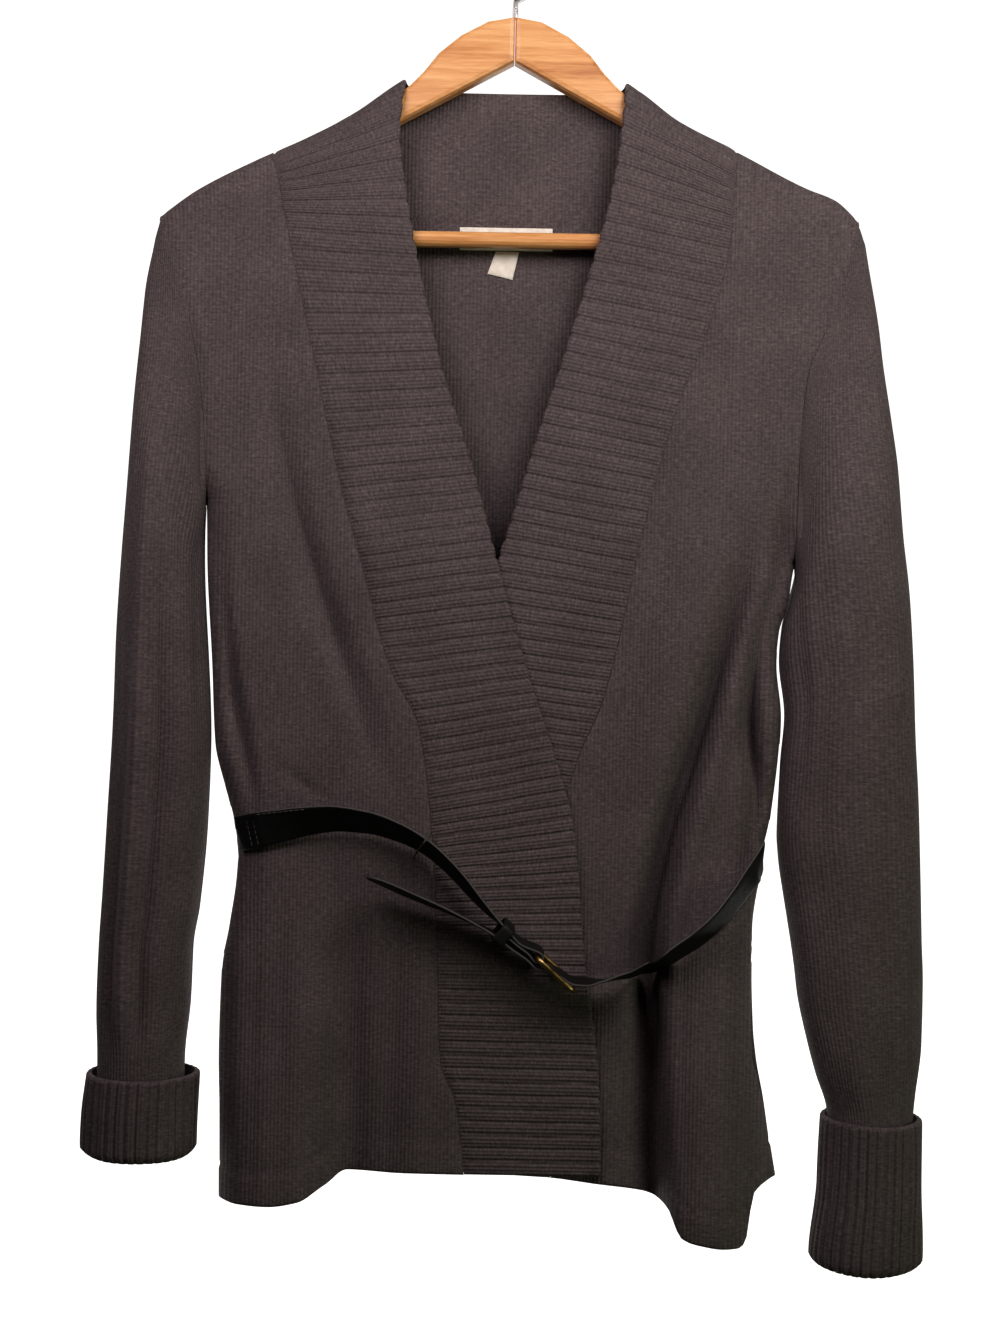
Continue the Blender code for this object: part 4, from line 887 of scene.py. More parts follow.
def sleeve_rings(sleeve):
    """Rings of a sleeve's inside, from the armhole to its end, in the part's frame."""
    out_x, in_x, arm_x = curve(sleeve.outer_edge), curve(sleeve.inner_edge), curve(sleeve.armhole)
    toward_body = sleeve.toward_body
    half = SLEEVE_HALF_POINTS
    shares = (1 - np.cos(np.pi * np.linspace(0, 1, half + 1))) / 2
    around = np.linspace(0, 1, half + 1)
    shares = np.concatenate([shares, shares[-2:0:-1]])
    around = np.concatenate([around, around[-2:0:-1]])
    count = len(shares)
    front = np.arange(count) <= half
    start, end = sleeve.armhole[0][0], sleeve.armhole[-1][0]
    arm_z = mix(start, end, shares)
    arm = arm_x(arm_z)
    arm_z = np.where(shares == 1, shoulder_z(arm), arm_z)
    lean = (arm_x(arm_z + 1) - arm_x(arm_z - 1)) / 2
    away = -toward_body * np.stack([np.ones_like(lean), 0 * lean, -lean], axis=-1)
    layer = "outer" if toward_body > 0 else "inner"
    seam_y = np.where(front, inside_y(arm, arm_z, layer), inside_y(arm, arm_z, "back"))
    seam_y[shares == 1] = 0
    seam_y[0] = 0
    seam = seen_at(np.stack([arm, seam_y, arm_z], axis=-1) + away * 0.3 * SEAM_GAP)
    underarm = to_frame(np.array([in_x(start), 0, start]))
    tip = to_frame(np.array([out_x(end), 0, end]))
    bow = seam - mix(underarm, tip, shares[:, None])
    columns = zip(*sleeve.sections)
    outer_z, inner_z, half_depth, sway = (curve(list(enumerate(column))) for column in columns)
    last = len(sleeve.sections) - 1
    steps = np.concatenate([[0, 0.03, 0.08], np.linspace(0.15, last, RINGS_A_SECTION * last)])
    place = np.arange(count) / count
    rings = []
    for k in steps:
        if k == 0:
            rings.append(seam)
            continue
        left = float(1 - ramp(k / CAP_RINGS))
        high, low = float(outer_z(k)), float(inner_z(k))
        outer = to_frame(np.array([float(out_x(high)) + toward_body * WALL, 0, high]))
        inner = to_frame(np.array([float(in_x(low)) - toward_body * WALL, 0, low]))
        angle = np.pi * mix(shares, around, 1 - left)
        ring = mix(inner, outer, mix((1 - np.cos(angle)) / 2, shares, left)[:, None])
        oval = (float(half_depth(k)) - WALL) * np.sin(angle) ** 0.8 * np.where(front, -1, 1)
        oval = oval + float(sway(k))
        ring = ring + bow * np.array([1, 0, 1]) * left
        ring[:, 1] = mix(oval, seam[:, 1], left)
        centre = ring.mean(axis=0)
        push = 0.25 * np.sin(7 * place * 2 * np.pi + k * 0.9) + 0.2 * np.sin(k * 2.1 + place * 13)
        for dent in sleeve.dents:
            near = np.exp(-((k - dent.ring) / dent.half_length) ** 4)
            push = push + dent.depth * near * np.exp(-((place - dent.around) / dent.half_width) ** 2)
        away_from = ring - centre
        away_from /= np.linalg.norm(away_from, axis=-1, keepdims=True) + 1e-9
        fade = float(ramp((k - 0.4) / 1.5) * ramp((last - 1.2 - k) / 1.2))
        rings.append(ring + away_from * (push * fade)[:, None])
    return np.array(rings), steps


def ring_normals(rings):
    """Outward normals of rings (ring, point round it), worked out from their neighbours."""
    down = np.gradient(rings, axis=0)
    around = np.roll(rings, -1, axis=1) - np.roll(rings, 1, axis=1)
    normal = np.cross(down, around)
    centre = rings.mean(axis=1, keepdims=True)
    sign = np.sign((normal * (rings - centre)).sum(axis=(1, 2), keepdims=True))
    return normal * sign / (np.linalg.norm(normal, axis=-1, keepdims=True) + 1e-9)


def sleeve_uv(sleeve, rings, steps):
    """Wales run up the sleeve and straight on into its cap; the back follows on from the front."""
    half = rings.shape[1] // 2
    around = np.arange(rings.shape[1]) / half
    place = rings - to_frame(np.zeros(3))
    x, z = place[..., 0], place[..., 2]
    near = curve(sleeve.inner_edge)(np.minimum(z, sleeve.armhole[0][0]))
    share = np.clip((x - near) / (curve(sleeve.outer_edge)(z) - near), 0, 1)
    seen = np.arccos(1 - 2 * share) / np.pi
    seen = np.where(around <= 1, seen, 2 - seen)
    cap = (1 - ramp(steps / CAP_RINGS))[:, None]
    half_round = sleeve.flat[0] / MM / 2
    return np.stack([mix(around, seen, cap) * half_round, z], axis=-1)


def make_sleeve(sleeve, material):
    """A set-in sleeve, one tube from the armhole down into its cuff."""
    rings, steps = sleeve_rings(sleeve)
    normals = ring_normals(rings)
    normals[0] = normals[1]
    gaps = np.linalg.norm(np.diff(rings, axis=0), axis=-1).mean(axis=1)
    height = WALL - seam_dip(np.concatenate([[0], np.cumsum(gaps)]))
    outer = rings + normals * height[:, None, None]
    uv = sleeve_uv(sleeve, rings, steps)
    inner, outer, uv = (grid.transpose(1, 0, 2) for grid in (rings, outer, uv))
    piece = wall(sleeve.node + "_knit", inner, outer, uv, material, closed=True)
    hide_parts(sleeve.node)


def make_cuff(name, node, sections, flat, material):
    """A ribbed tube whose lower edge turns in under the sleeve's end."""
    table = np.array(sorted(sections, key=lambda row: row.z), float)
    low, high = table[0, 0], table[-1, 0]
    fine = (0.6, 1.4, 2.6)
    z = low + (high - low) * with_fine_edges(int((high - low) / 2.4), high - low, fine)
    outer_x, inner_x, half_depth = (curve(table[:, (0, i)]) for i in (1, 2, 3))
    middle = (outer_x(z) + inner_x(z)) / 2
    reach = np.abs(outer_x(z) - inner_x(z)) / 2 - CUFF_HIGH
    depth = half_depth(z) - CUFF_HIGH
    phase = np.linspace(0, CUFF_RIBS, CUFF_RIBS * 12, endpoint=False)
    angle = (2 * np.pi * phase / CUFF_RIBS)[:, None]
    wobble = 0.35 * np.sin(3 * angle + z / 21) + 0.25 * np.sin(5 * angle - z / 13)
    raised = rib_profile(phase)[:, None]
    edge = rounded_edge(high - z) * rounded_edge(z - low)
    height = mix(CUFF_LOW, CUFF_HIGH, raised) * edge

    def grid(extra):
        x = middle + (reach + extra + wobble) * np.cos(angle)
        y = (depth + extra + wobble) * np.sin(angle)
        return to_frame(np.stack([x, y, np.broadcast_to(z, x.shape)], axis=-1))

    inner = grid(np.zeros((len(phase), len(z))))
    round_it = phase / CUFF_RIBS * flat[0] / MM
    uv = np.stack(np.broadcast_arrays(round_it[:, None], z), axis=-1)
    piece = wall(name, inner, grid(height), uv, material, closed=True)
    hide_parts(node)


def resampled(points, turns, spacing):
    """The same route with even, closer stations on a smooth curve."""
    points = np.asarray(points, float)
    length = np.concatenate([[0], np.cumsum(np.linalg.norm(np.diff(points, axis=0), axis=1))])
    at = np.linspace(0, length[-1], int(length[-1] / spacing) + 1)
    columns = [curve(np.stack([length, column], axis=1))(at) for column in points.T]
    return np.stack(columns, axis=1), curve(np.stack([length, turns], axis=1))(at), at


def make_strap(name, node, route, turns, material, pointed=0.0, upright_end=0.0):
    """A strap with rounded edges along a route in the part's frame. Its start may be cut
    upright, over a length, where it goes out of sight at a side edge."""
    centres, turns, at = resampled(route, turns, 1.5)
    along = np.gradient(centres, axis=0)
    along[:, 1] = 0
    along /= np.linalg.norm(along, axis=-1, keepdims=True)
    upright = np.stack([-along[:, 2], np.zeros(len(along)), along[:, 0]], axis=-1)
    upright[upright[:, 2] < 0] *= -1
    turn = np.radians(turns)[:, None]
    if upright_end:
        cut = np.stack([0 * at, 0 * at, 1 / upright[:, 2]], axis=-1)
        upright = mix(cut, upright, ramp(at / upright_end)[:, None])
    wide = upright * np.cos(turn) - np.array([0, 1, 0]) * np.sin(turn)
    facing = np.cross(along, wide)
    facing /= np.linalg.norm(facing, axis=-1, keepdims=True)
    width = np.full(len(at), STRAP_WIDTH)
    if pointed:
        tip = np.clip((at[-1] - at) / pointed, 0, 1)
        width = STRAP_WIDTH * np.sqrt(np.clip(1 - (1 - tip) ** 2.2, 0.004, 1))
    share = np.array([-1, -0.985, -0.94, -0.8, -0.4, 0, 0.4, 0.8, 0.94, 0.985, 1])
    thick = STRAP_THICKNESS / 2 * np.array([0.25, 0.62, 0.92, 1.06, 1, 1, 1, 1.06, 0.92, 0.62, 0.25])
    spread = wide[:, None, :] * (share * 0.5)[None, :, None] * width[:, None, None]
    offset = facing[:, None, :] * thick[None, :, None]
    face = centres[:, None, :] + spread
    uv = np.stack(np.broadcast_arrays(at[:, None], share * STRAP_WIDTH / 2), axis=-1)
    piece = wall(name, face - offset, face + offset, uv, material)
    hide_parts(node)
    return piece


def strap_centres(stations, layer):
    """Middle line of a strap that stands clear of the cloth it passes."""
    x = np.array([row.x for row in stations], float)
    z = np.array([row.z for row in stations], float)
    turn = np.array([row.turn for row in stations], float)
    slope = np.gradient(z) / np.gradient(x)
    rise = STRAP_WIDTH / 2 * np.cos(np.radians(turn)) / np.hypot(1, slope)
    lean = STRAP_WIDTH / 2 * np.sin(np.radians(turn))
    near = [
        inside_y(x - share * rise * slope + aside, z + share * rise, layer) + share * lean
        for share in (-1, -0.5, 0, 0.5, 1) for aside in (-WALL, 0, WALL)
    ]
    clearance = mix(SEWN_CLEARANCE, BELT_CLEARANCE, ramp(np.abs(x - x[0]) / SEWN_LENGTH))
    near = np.min(near, axis=0) - RIB_HIGH - clearance - STRAP_THICKNESS / 2
    y = mix(near, np.minimum(near, BELT_MIDDLE_Y), ramp((turn - FREE_TURN) / (90 - FREE_TURN)))
    return np.stack([x, y, z], axis=-1), turn


def strap_place(x):
    """Middle of the right strap at a position across, with its directions across its width
    and out of its face."""
    centres, turns = strap_centres(STRAP_RIGHT, "outer")
    middle = np.array([x, *(np.interp(x, centres[:, 0], centres[:, i]) for i in (1, 2))])
    slope = np.interp(x, centres[:, 0], np.gradient(centres[:, 2]) / np.gradient(centres[:, 0]))
    turn = math.radians(np.interp(x, centres[:, 0], turns))
    upright = np.array([-slope, 0, 1]) / math.hypot(1, slope)
    toward = np.array([0, -1, 0])
    wide = upright * math.cos(turn) + toward * math.sin(turn)
    out = toward * math.cos(turn) - upright * math.sin(turn)
    return middle, upright, wide, out, turn


def curve_piece(name, points, diameter, material, cyclic=False, resolution=5):
    """Round wire along points in millimetres, made a mesh."""
    data = bpy.data.curves.new(name, "CURVE")
    data.dimensions = "3D"
    data.bevel_depth = diameter / 2 * MM
    data.bevel_resolution = resolution
    data.use_fill_caps = True
    spline = data.splines.new("POLY")
    spline.points.add(len(points) - 1)
    for point, place in zip(spline.points, points):
        point.co = (*(np.asarray(place, float) * MM), 1)
    spline.use_cyclic_u = cyclic
    guide = bpy.data.objects.new(name + "_guide", data)
    bpy.context.scene.collection.objects.link(guide)
    bpy.context.view_layer.update()
    mesh = bpy.data.meshes.new_from_object(guide.evaluated_get(bpy.context.evaluated_depsgraph_get()))
    bpy.data.objects.remove(guide)
    mesh.shade_smooth()
    mesh.materials.clear()
    mesh.materials.append(material)
    piece = bpy.data.objects.new(name, mesh)
    bpy.context.scene.collection.objects.link(piece)
    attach(piece, "root")
    return piece


def make_belt(leather, brass):
    """The fastened belt: both straps, the buckle and the keeper."""
    along = np.array([BUCKLE_LOWER[0] - BUCKLE_UPPER[0], 0, BUCKLE_LOWER[1] - BUCKLE_UPPER[1]])
    along /= np.linalg.norm(along)
    over = np.array([-along[2], 0, along[0]])
    upper = np.array([BUCKLE_UPPER[0], BELT_MIDDLE_Y, BUCKLE_UPPER[1]])
    lower = np.array([BUCKLE_LOWER[0], BELT_MIDDLE_Y, BUCKLE_LOWER[1]])
    radius = BUCKLE_WIRE / 2 + LOOP_GAP + STRAP_THICKNESS / 2

    # The right strap runs to the buckle, round its upper bar and a short way back
    centres, turns = strap_centres(STRAP_RIGHT, "outer")
    bend = [
        upper + radius * (over * math.cos(angle) + along * math.sin(angle))
        for angle in np.linspace(0, math.pi, 9)
    ]
    back_z = STRAP_THICKNESS + 0.35
    back = [
        upper - along * 6 - over * (radius * 0.75),
        centres[-1] - along * 2 - over * back_z,
        centres[-2] - along * 1 - over * back_z,
    ]
    route = np.concatenate([centres, np.array(bend), np.array(back)])
    turns = np.concatenate([turns, np.full(len(bend) + len(back), 90.0)])
    make_strap("belt_right_leather", "belt_right", seen_at(route), turns, leather)

    # The left strap passes over the lower bar, through the buckle and on under the right one
    centres, turns = strap_centres(STRAP_LEFT, "inner")
    under = over * (radius + STRAP_THICKNESS + LOOP_GAP)
    through = [
        lower + over * radius - along * 1,
        (upper + lower) / 2,
        upper - under + along * 4,
        upper - under - along * 4,
    ]
    tail, tail_turns = strap_centres(TAIL, "outer")
    route = np.concatenate([centres, np.array(through), tail])
    turns = np.concatenate([turns, np.full(len(through), 90.0), tail_turns])
    make_strap(
        "belt_left_leather", "belt_left", seen_at(route), turns, leather,
        pointed=TAIL_POINT, upright_end=SEWN_LENGTH,
    )

    # Buckle: a rounded rectangle of round wire, lying in the plane of the straps
    middle = seen_at((upper + lower) / 2)
    half_length = (BUCKLE_LENGTH - BUCKLE_WIRE) / 2 - BUCKLE_CORNER
    half_width = (BUCKLE_WIDTH - BUCKLE_WIRE) / 2 - BUCKLE_CORNER
    points = []
    for sign_a, sign_w, first in ((1, 1, 0), (-1, 1, 90), (-1, -1, 180), (1, -1, 270)):
        for k in range(10):
            angle = math.radians(first + 10 * k)
            a = sign_a * half_length + BUCKLE_CORNER * math.cos(angle)
            w = sign_w * half_width + BUCKLE_CORNER * math.sin(angle)
            points.append(middle + along * a + np.array([0, w, 0]))
    buckle = curve_piece("belt_buckle_wire", points, BUCKLE_WIRE, brass, cyclic=True)
    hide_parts("belt_buckle")

    # Keeper: a leather ring with rounded corners round both straps
    keeper_at = seen_at(strap_centres(STRAP_RIGHT, "outer")[0][-2] - along * 1 - over * 3.2)
    angle = np.linspace(0, 2 * np.pi, 64, endpoint=False)

    def ring(grow, reach):
        a = np.sign(np.cos(angle)) * np.abs(np.cos(angle)) ** 0.35 * (KEEPER_HALF_DEPTH + grow)
        w = np.sign(np.sin(angle)) * np.abs(np.sin(angle)) ** 0.35 * (STRAP_WIDTH / 2 + 0.5 + grow)
        return keeper_at + over * a[:, None] + np.array([0, 1, 0]) * w[:, None] + along * reach

    inner = np.stack([ring(0, reach) for reach, _ in KEEPER_OUTSIDE], axis=1)
    outer = np.stack([ring(swell, reach) for reach, swell in KEEPER_OUTSIDE], axis=1)
    reaches = np.array([reach for reach, _ in KEEPER_OUTSIDE])
    uv = np.stack(np.broadcast_arrays(angle[:, None] * 12, reaches), axis=-1)
    keeper = wall("belt_keeper_leather", inner, outer, uv, leather, closed=True)
    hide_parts("belt_keeper")


def joined(pieces, name):
    """Several pieces made one, under a new name."""
    bpy.ops.object.select_all(action="DESELECT")
    for piece in pieces:
        piece.select_set(True)
    bpy.context.view_layer.objects.active = pieces[0]
    bpy.ops.object.join()
    pieces[0].name = name
    return pieces[0]


def make_thread(name, points, material):
    """Short stitches lying on a surface, as one mesh of thin wires."""
    pieces = [
        curve_piece(f"{name}_{k}", run, STITCH_THREAD, material, resolution=1)
        for k, run in enumerate(points)
    ]
    return joined(pieces, name)


def make_stitches(thread):
    """The right strap's end is sewn on with two rows across it and one along its top edge."""
    shares = np.arange(-0.8, 0.7, 0.31)
    runs = [((x, share), (x, share + 0.2)) for x in STITCH_ROWS_X for share in shares]
    runs += [((x, 0.88), (x + 2.2, 0.88)) for x in np.arange(*STITCH_TOP_X, 3.4)]

    def on_strap(x, share):
        middle, _, wide, out, _ = strap_place(x)
        return seen_at(middle) + wide * share * STRAP_WIDTH / 2 + out * (STRAP_THICKNESS / 2 + 0.1)

    points = [[on_strap(*start), on_strap(*end)] for start, end in runs]
    return make_thread("belt_stitches", points, thread)


def make_carrier(material):
    """The thread loop that carries the right strap at its band's seam, two strands twisted."""
    centre, upright, wide, out, turn = strap_place(CARRIER_X)
    half = STRAP_WIDTH / 2
    lift = STRAP_THICKNESS / 2 + CARRIER_THREAD / 2 + 0.3

    def on_cloth(side):
        point = centre + upright * side * (half * math.cos(turn) + 4)
        depth = float(inside_y(point[0], point[2], "outer")) - WALL
        return [seen_at(np.array([point[0], depth + sunk, point[2]])) for sunk in (1.0, -1.6)]

    middle = seen_at(centre)
    round_strap = [
        middle + wide * w * (half + 1.6) + out * o * lift
        for w, o in ((1, -0.2), (1, 1), (0, 1), (-1, 1), (-1, -0.2))
    ]
    rows = np.array(on_cloth(1) + round_strap + on_cloth(-1)[::-1])
    route, _, at = resampled(rows, np.zeros(len(rows)), 0.8)
    pieces = []
    for k in (0, 1):
        twist = at / STRAND_TURN + k * math.pi
        round_it = np.stack([np.cos(twist), 0 * twist, np.sin(twist)], axis=-1)
        strand = route + STRAND_OFFSET * round_it
        name = f"belt_carrier_strand_{k}"
        pieces.append(curve_piece(name, strand, STRAND_THREAD, material, resolution=2))
    loop = joined(pieces, "belt_carrier_thread")
    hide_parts("belt_carrier")


def make_label(node, corners, material):
    """A blank woven label lying on the inside of the back, its ends turned under."""
    lower_left, lower_right, upper_right, upper_left = (np.array(corner, float) for corner in corners)
    width = np.linalg.norm(lower_right - lower_left)
    height = np.linalg.norm(upper_left - lower_left)
    u, v = with_fine_edges(24, width, LABEL_EDGE), with_fine_edges(8, height, LABEL_EDGE)
    left = mix(lower_left, upper_left, v[:, None])
    right = mix(lower_right, upper_right, v[:, None])
    flat = left[:, None] * (1 - u)[None, :, None] + right[:, None] * u[None, :, None]
    x, z = flat[..., 0], flat[..., 1]
    from_ends, from_sides = np.minimum(u, 1 - u) * width, np.minimum(v, 1 - v) * height
    edge = np.minimum(from_ends[None, :], from_sides[:, None])
    puff = 0.45 * ramp(edge / 2.5) + 0.12 * np.sin(x / 5.0)
    near = on_layer(x, z, "back", -LABEL_LIFT - 0.25 - 0.35 * turned(edge, 1.0) - puff)
    far = on_layer(x, z, "back", np.full(x.shape, -LABEL_LIFT))
    uv = np.stack(np.broadcast_arrays(u[None, :] * width, v[:, None] * height), axis=-1)
    piece = wall(node + "_woven", far, near, uv, material)
    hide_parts(node)
    return piece


def make_labels(material, thread):
    """The neck label with its stitches at both ends, and the care label under it."""
    neck = make_label("neck_label", NECK_LABEL, material)
    care = make_label("care_label", CARE_LABEL, material)
    runs = []
    for x in LABEL_STITCH_X:
        for z in np.arange(265.4, 276.6, 2.3):
            where = np.array([[x, x], [z, z + 1.3]], float)
            runs.append(on_layer(where[0], where[1], "back", np.full(2, -1.5)))
    make_thread("neck_label_stitches", runs, thread)


def hex_colour(value):
    """Linear colour of an sRGB hex value."""
    channels = [int(value[i:i + 2], 16) / 255 for i in (0, 2, 4)]
    linear = [c / 12.92 if c <= 0.04045 else ((c + 0.055) / 1.055) ** 2.4 for c in channels]
    return (*linear, 1.0)


def fill(node, inputs):
    """Fills a node's inputs, by name or number, each with a value or another node's output."""
    for key, value in inputs.items():
        if isinstance(value, bpy.types.NodeSocket):
            node.id_data.links.new(value, node.inputs[key])
        else:
            node.inputs[key].default_value = value


def add_node(tree, kind, inputs, stops=(), **settings):
    """Adds a node with its settings, inputs and colour stops, and gives its outputs."""
    node = tree.nodes.new("ShaderNode" + kind)
    for key, value in settings.items():
        setattr(node, key, value)
    fill(node, inputs)
    if stops:
        elements = node.color_ramp.elements
        while len(elements) < len(stops):
            elements.new(0.5)
        for element, (position, colour) in zip(elements, stops):
            element.position = position
            element.color = hex_colour(colour)
    return node.outputs


def start_material(name):
    """A new material, its tree of nodes and its shader."""
    material = bpy.data.materials.new(name)
    material.use_nodes = True
    return material, material.node_tree, material.node_tree.nodes["Principled BSDF"]


def per_metre(size):
    """How often a pattern of a size in millimetres repeats in a metre."""
    return 1 / (size * MM)


def knit_material():
    """Fine wool-blend jersey, heathered: matt and a little fuzzy, with plain wales up the
    cloth and a marl of lighter and darker fibres. A fine gauge's wales are too narrow to
    show, so they are drawn 2.4 mm wide and its stitches 1.9 mm high."""
    material, tree, shader = start_material("heathered_wool_knit")
    cloth = add_node(tree, "UVMap", {}, uv_map="cloth")["UV"]
    place = add_node(tree, "SeparateXYZ", {0: cloth})
    wales = add_node(tree, "Math", {0: place["X"], 1: WALE_WIDTH * MM}, operation="DIVIDE")[0]
    courses = add_node(tree, "Math", {0: place["Y"], 1: COURSE_HEIGHT * MM}, operation="DIVIDE")[0]
    share = add_node(tree, "Math", {0: wales}, operation="FRACT")[0]
    off_middle = add_node(tree, "Math", {0: share, 1: 0.5}, operation="SUBTRACT")[0]
    in_wale = add_node(tree, "Math", {0: off_middle}, operation="ABSOLUTE")[0]
    turn = add_node(tree, "Math", {0: in_wale, 1: 2 * math.pi}, operation="MULTIPLY")[0]
    ridge = add_node(tree, "Math", {0: turn}, operation="COSINE")[0]
    # The legs of each stitch meet in the middle of its wale and slant down from there
    slant = add_node(tree, "Math", {0: in_wale, 1: 1.3, 2: courses}, operation="MULTIPLY_ADD")[0]
    turn = add_node(tree, "Math", {0: slant, 1: 2 * math.pi}, operation="MULTIPLY")[0]
    stitch = add_node(tree, "Math", {0: turn}, operation="COSINE")[0]
    part = KNIT_PARTS["stitches in the pattern"]
    pattern = add_node(tree, "Math", {0: stitch, 1: part, 2: ridge}, operation="MULTIPLY_ADD")[0]

    # Fibres lie along the courses, so the marl of 1.6 mm is drawn out sideways to 3.8 mm
    marl_scale = (per_metre(3.846), per_metre(1.613), 1.0)
    drawn_out = add_node(tree, "Mapping", {"Vector": cloth, "Scale": marl_scale})[0]
    marl = {"Vector": drawn_out, "Scale": 1.0, "Detail": 3.0, "Roughness": 0.7}
    marl = add_node(tree, "TexNoise", marl)[0]
    speckle = {"Vector": cloth, "Scale": per_metre(1.111), "Detail": 2.0, "Roughness": 0.8}
    speckle = add_node(tree, "TexNoise", speckle)[0]
    patch = {"Vector": cloth, "Scale": per_metre(38.46), "Detail": 3.0, "Roughness": 0.6}
    patch = add_node(tree, "TexNoise", patch)[0]
    part = KNIT_PARTS["speckle in the shade"]
    speckle = add_node(tree, "Math", {0: speckle, 1: part}, operation="MULTIPLY")[0]
    part = KNIT_PARTS["marl in the shade"]
    fibre = add_node(tree, "Math", {0: marl, 1: part, 2: speckle}, operation="MULTIPLY_ADD")[0]
    patch = add_node(tree, "Math", {0: patch, 1: 0.5}, operation="SUBTRACT")[0]
    part = KNIT_PARTS["patches in the shade"]
    shade = add_node(tree, "Math", {0: patch, 1: part, 2: fibre}, operation="MULTIPLY_ADD")[0]
    part = KNIT_PARTS["pattern in the shade"]
    shade = add_node(tree, "Math", {0: pattern, 1: part, 2: shade}, operation="MULTIPLY_ADD")[0]
    part = KNIT_PARTS["fibres in the relief"]
    rough = add_node(tree, "Math", {0: fibre, 1: part}, operation="MULTIPLY")[0]
    part = KNIT_PARTS["pattern in the relief"]
    relief = add_node(tree, "Math", {0: pattern, 1: part, 2: rough}, operation="MULTIPLY_ADD")[0]
    fill(shader, {
        "Base Color": add_node(tree, "ValToRGB", {0: shade}, KNIT_SHADES)[0],
        "Normal": add_node(tree, "Bump", {"Height": relief, "Strength": 0.75, "Distance": 0.7 * MM})[0],
        "Roughness": 0.95,
        "Specular IOR Level": 0.18,
        "Sheen Weight": 0.07,
        "Sheen Roughness": 0.45,
        "Sheen Tint": hex_colour("9A8E88"),
    })
    return material


def leather_material():
    """Black split leather strap, rolled and finished: half matt with a fine grain of about
    0.7 mm, and a painted highlight that makes its upper edge greyer."""
    material, tree, shader = start_material("black_finished_leather")
    strap = add_node(tree, "UVMap", {}, uv_map="cloth")["UV"]
    place = add_node(tree, "SeparateXYZ", {0: strap})
    grain = add_node(tree, "TexVoronoi", {"Vector": strap, "Scale": per_metre(0.6667)})["Distance"]
    wear = {"Vector": strap, "Scale": per_metre(6.25), "Detail": 5.0, "Roughness": 0.7}
    wear = add_node(tree, "TexNoise", wear)[0]
    # Painted highlight: the strap's upper edge is made lighter, as where light from above catches it;
    # the wear noise is the leather's own
    upper = add_node(tree, "Math", {0: place["Y"], 1: 0.0}, operation="MAXIMUM")[0]
    edge = add_node(tree, "Math", {0: upper, 1: STRAP_WIDTH / 2 * MM}, operation="DIVIDE")[0]
    painted_edge_highlight = add_node(tree, "Math", {0: edge, 1: 36.0}, operation="POWER")[0]
    shade = add_node(tree, "Math", {0: wear, 1: 0.3, 2: painted_edge_highlight}, operation="MULTIPLY_ADD")[0]
    relief = add_node(tree, "Math", {0: wear, 1: 0.6, 2: grain}, operation="MULTIPLY_ADD")[0]
    fill(shader, {
        "Base Color": add_node(tree, "ValToRGB", {0: shade}, LEATHER_SHADES)[0],
        "Normal": add_node(tree, "Bump", {"Height": relief, "Strength": 0.35, "Distance": 0.3 * MM})[0],
        "Roughness": add_node(tree, "Math", {0: wear, 1: 0.2, 2: 0.42}, operation="MULTIPLY_ADD")[0],
        "Specular IOR Level": 0.2,
    })
    return material


def brass_material():
    """Drawn brass wire, lacquered and aged: warm and satin, with darker tarnish in patches
    of about 4.5 mm."""
    material, tree, shader = start_material("aged_brass")
    place = add_node(tree, "TexCoord", {})["Object"]
    tarnish = {"Vector": place, "Scale": per_metre(4.545), "Detail": 6.0, "Roughness": 0.65}
    tarnish = add_node(tree, "TexNoise", tarnish)[0]
    fill(shader, {
        "Base Color": add_node(tree, "ValToRGB", {0: tarnish}, BRASS_SHADES)[0],
        "Normal": add_node(tree, "Bump", {"Height": tarnish, "Strength": 0.2, "Distance": 0.2 * MM})[0],
        "Roughness": add_node(tree, "Math", {0: tarnish, 1: 0.25, 2: 0.2}, operation="MULTIPLY_ADD")[0],
        "Metallic": 1.0,
    })
    return material


def wood_material(name, along):
    """Planed and lacquered beech-like wood: honey brown, with grain about 4 mm across drawn
    out along the piece, short pores of about 1 mm, a broad figure of 17 mm and a soft gloss."""
    material, tree, shader = start_material(name)
    place = add_node(tree, "TexCoord", {})["Object"]
    patterns = []
    for sizes, detail, roughness in (
        ((71.43, 3.846, 3.03), 6.0, 0.6), ((9.091, 1.111, 0.7692), 2.0, 0.5),
        ((200.0, 16.667, 16.667), 3.0, 0.5),
    ):
        scale = [per_metre(size) for size in sizes]
        lines = {"Vector": place, "Rotation": (0.0, along, 0.0), "Scale": scale}
        noise = {"Scale": 1.0, "Detail": detail, "Roughness": roughness}
        noise["Vector"] = add_node(tree, "Mapping", lines)[0]
        patterns.append(add_node(tree, "TexNoise", noise)[0])
    grain, pores, figure = patterns
    shade = add_node(tree, "Math", {0: pores, 1: 0.16}, operation="MULTIPLY")[0]
    shade = add_node(tree, "Math", {0: figure, 1: 0.4, 2: shade}, operation="MULTIPLY_ADD")[0]
    shade = add_node(tree, "Math", {0: grain, 1: 0.5, 2: shade}, operation="MULTIPLY_ADD")[0]
    fill(shader, {
        "Base Color": add_node(tree, "ValToRGB", {0: shade}, WOOD_SHADES)[0],
        "Normal": add_node(tree, "Bump", {"Height": shade, "Strength": 0.25, "Distance": 0.4 * MM})[0],
        "Roughness": 0.42,
        "Coat Weight": 0.35,
        "Coat Roughness": 0.28,
    })
    return material


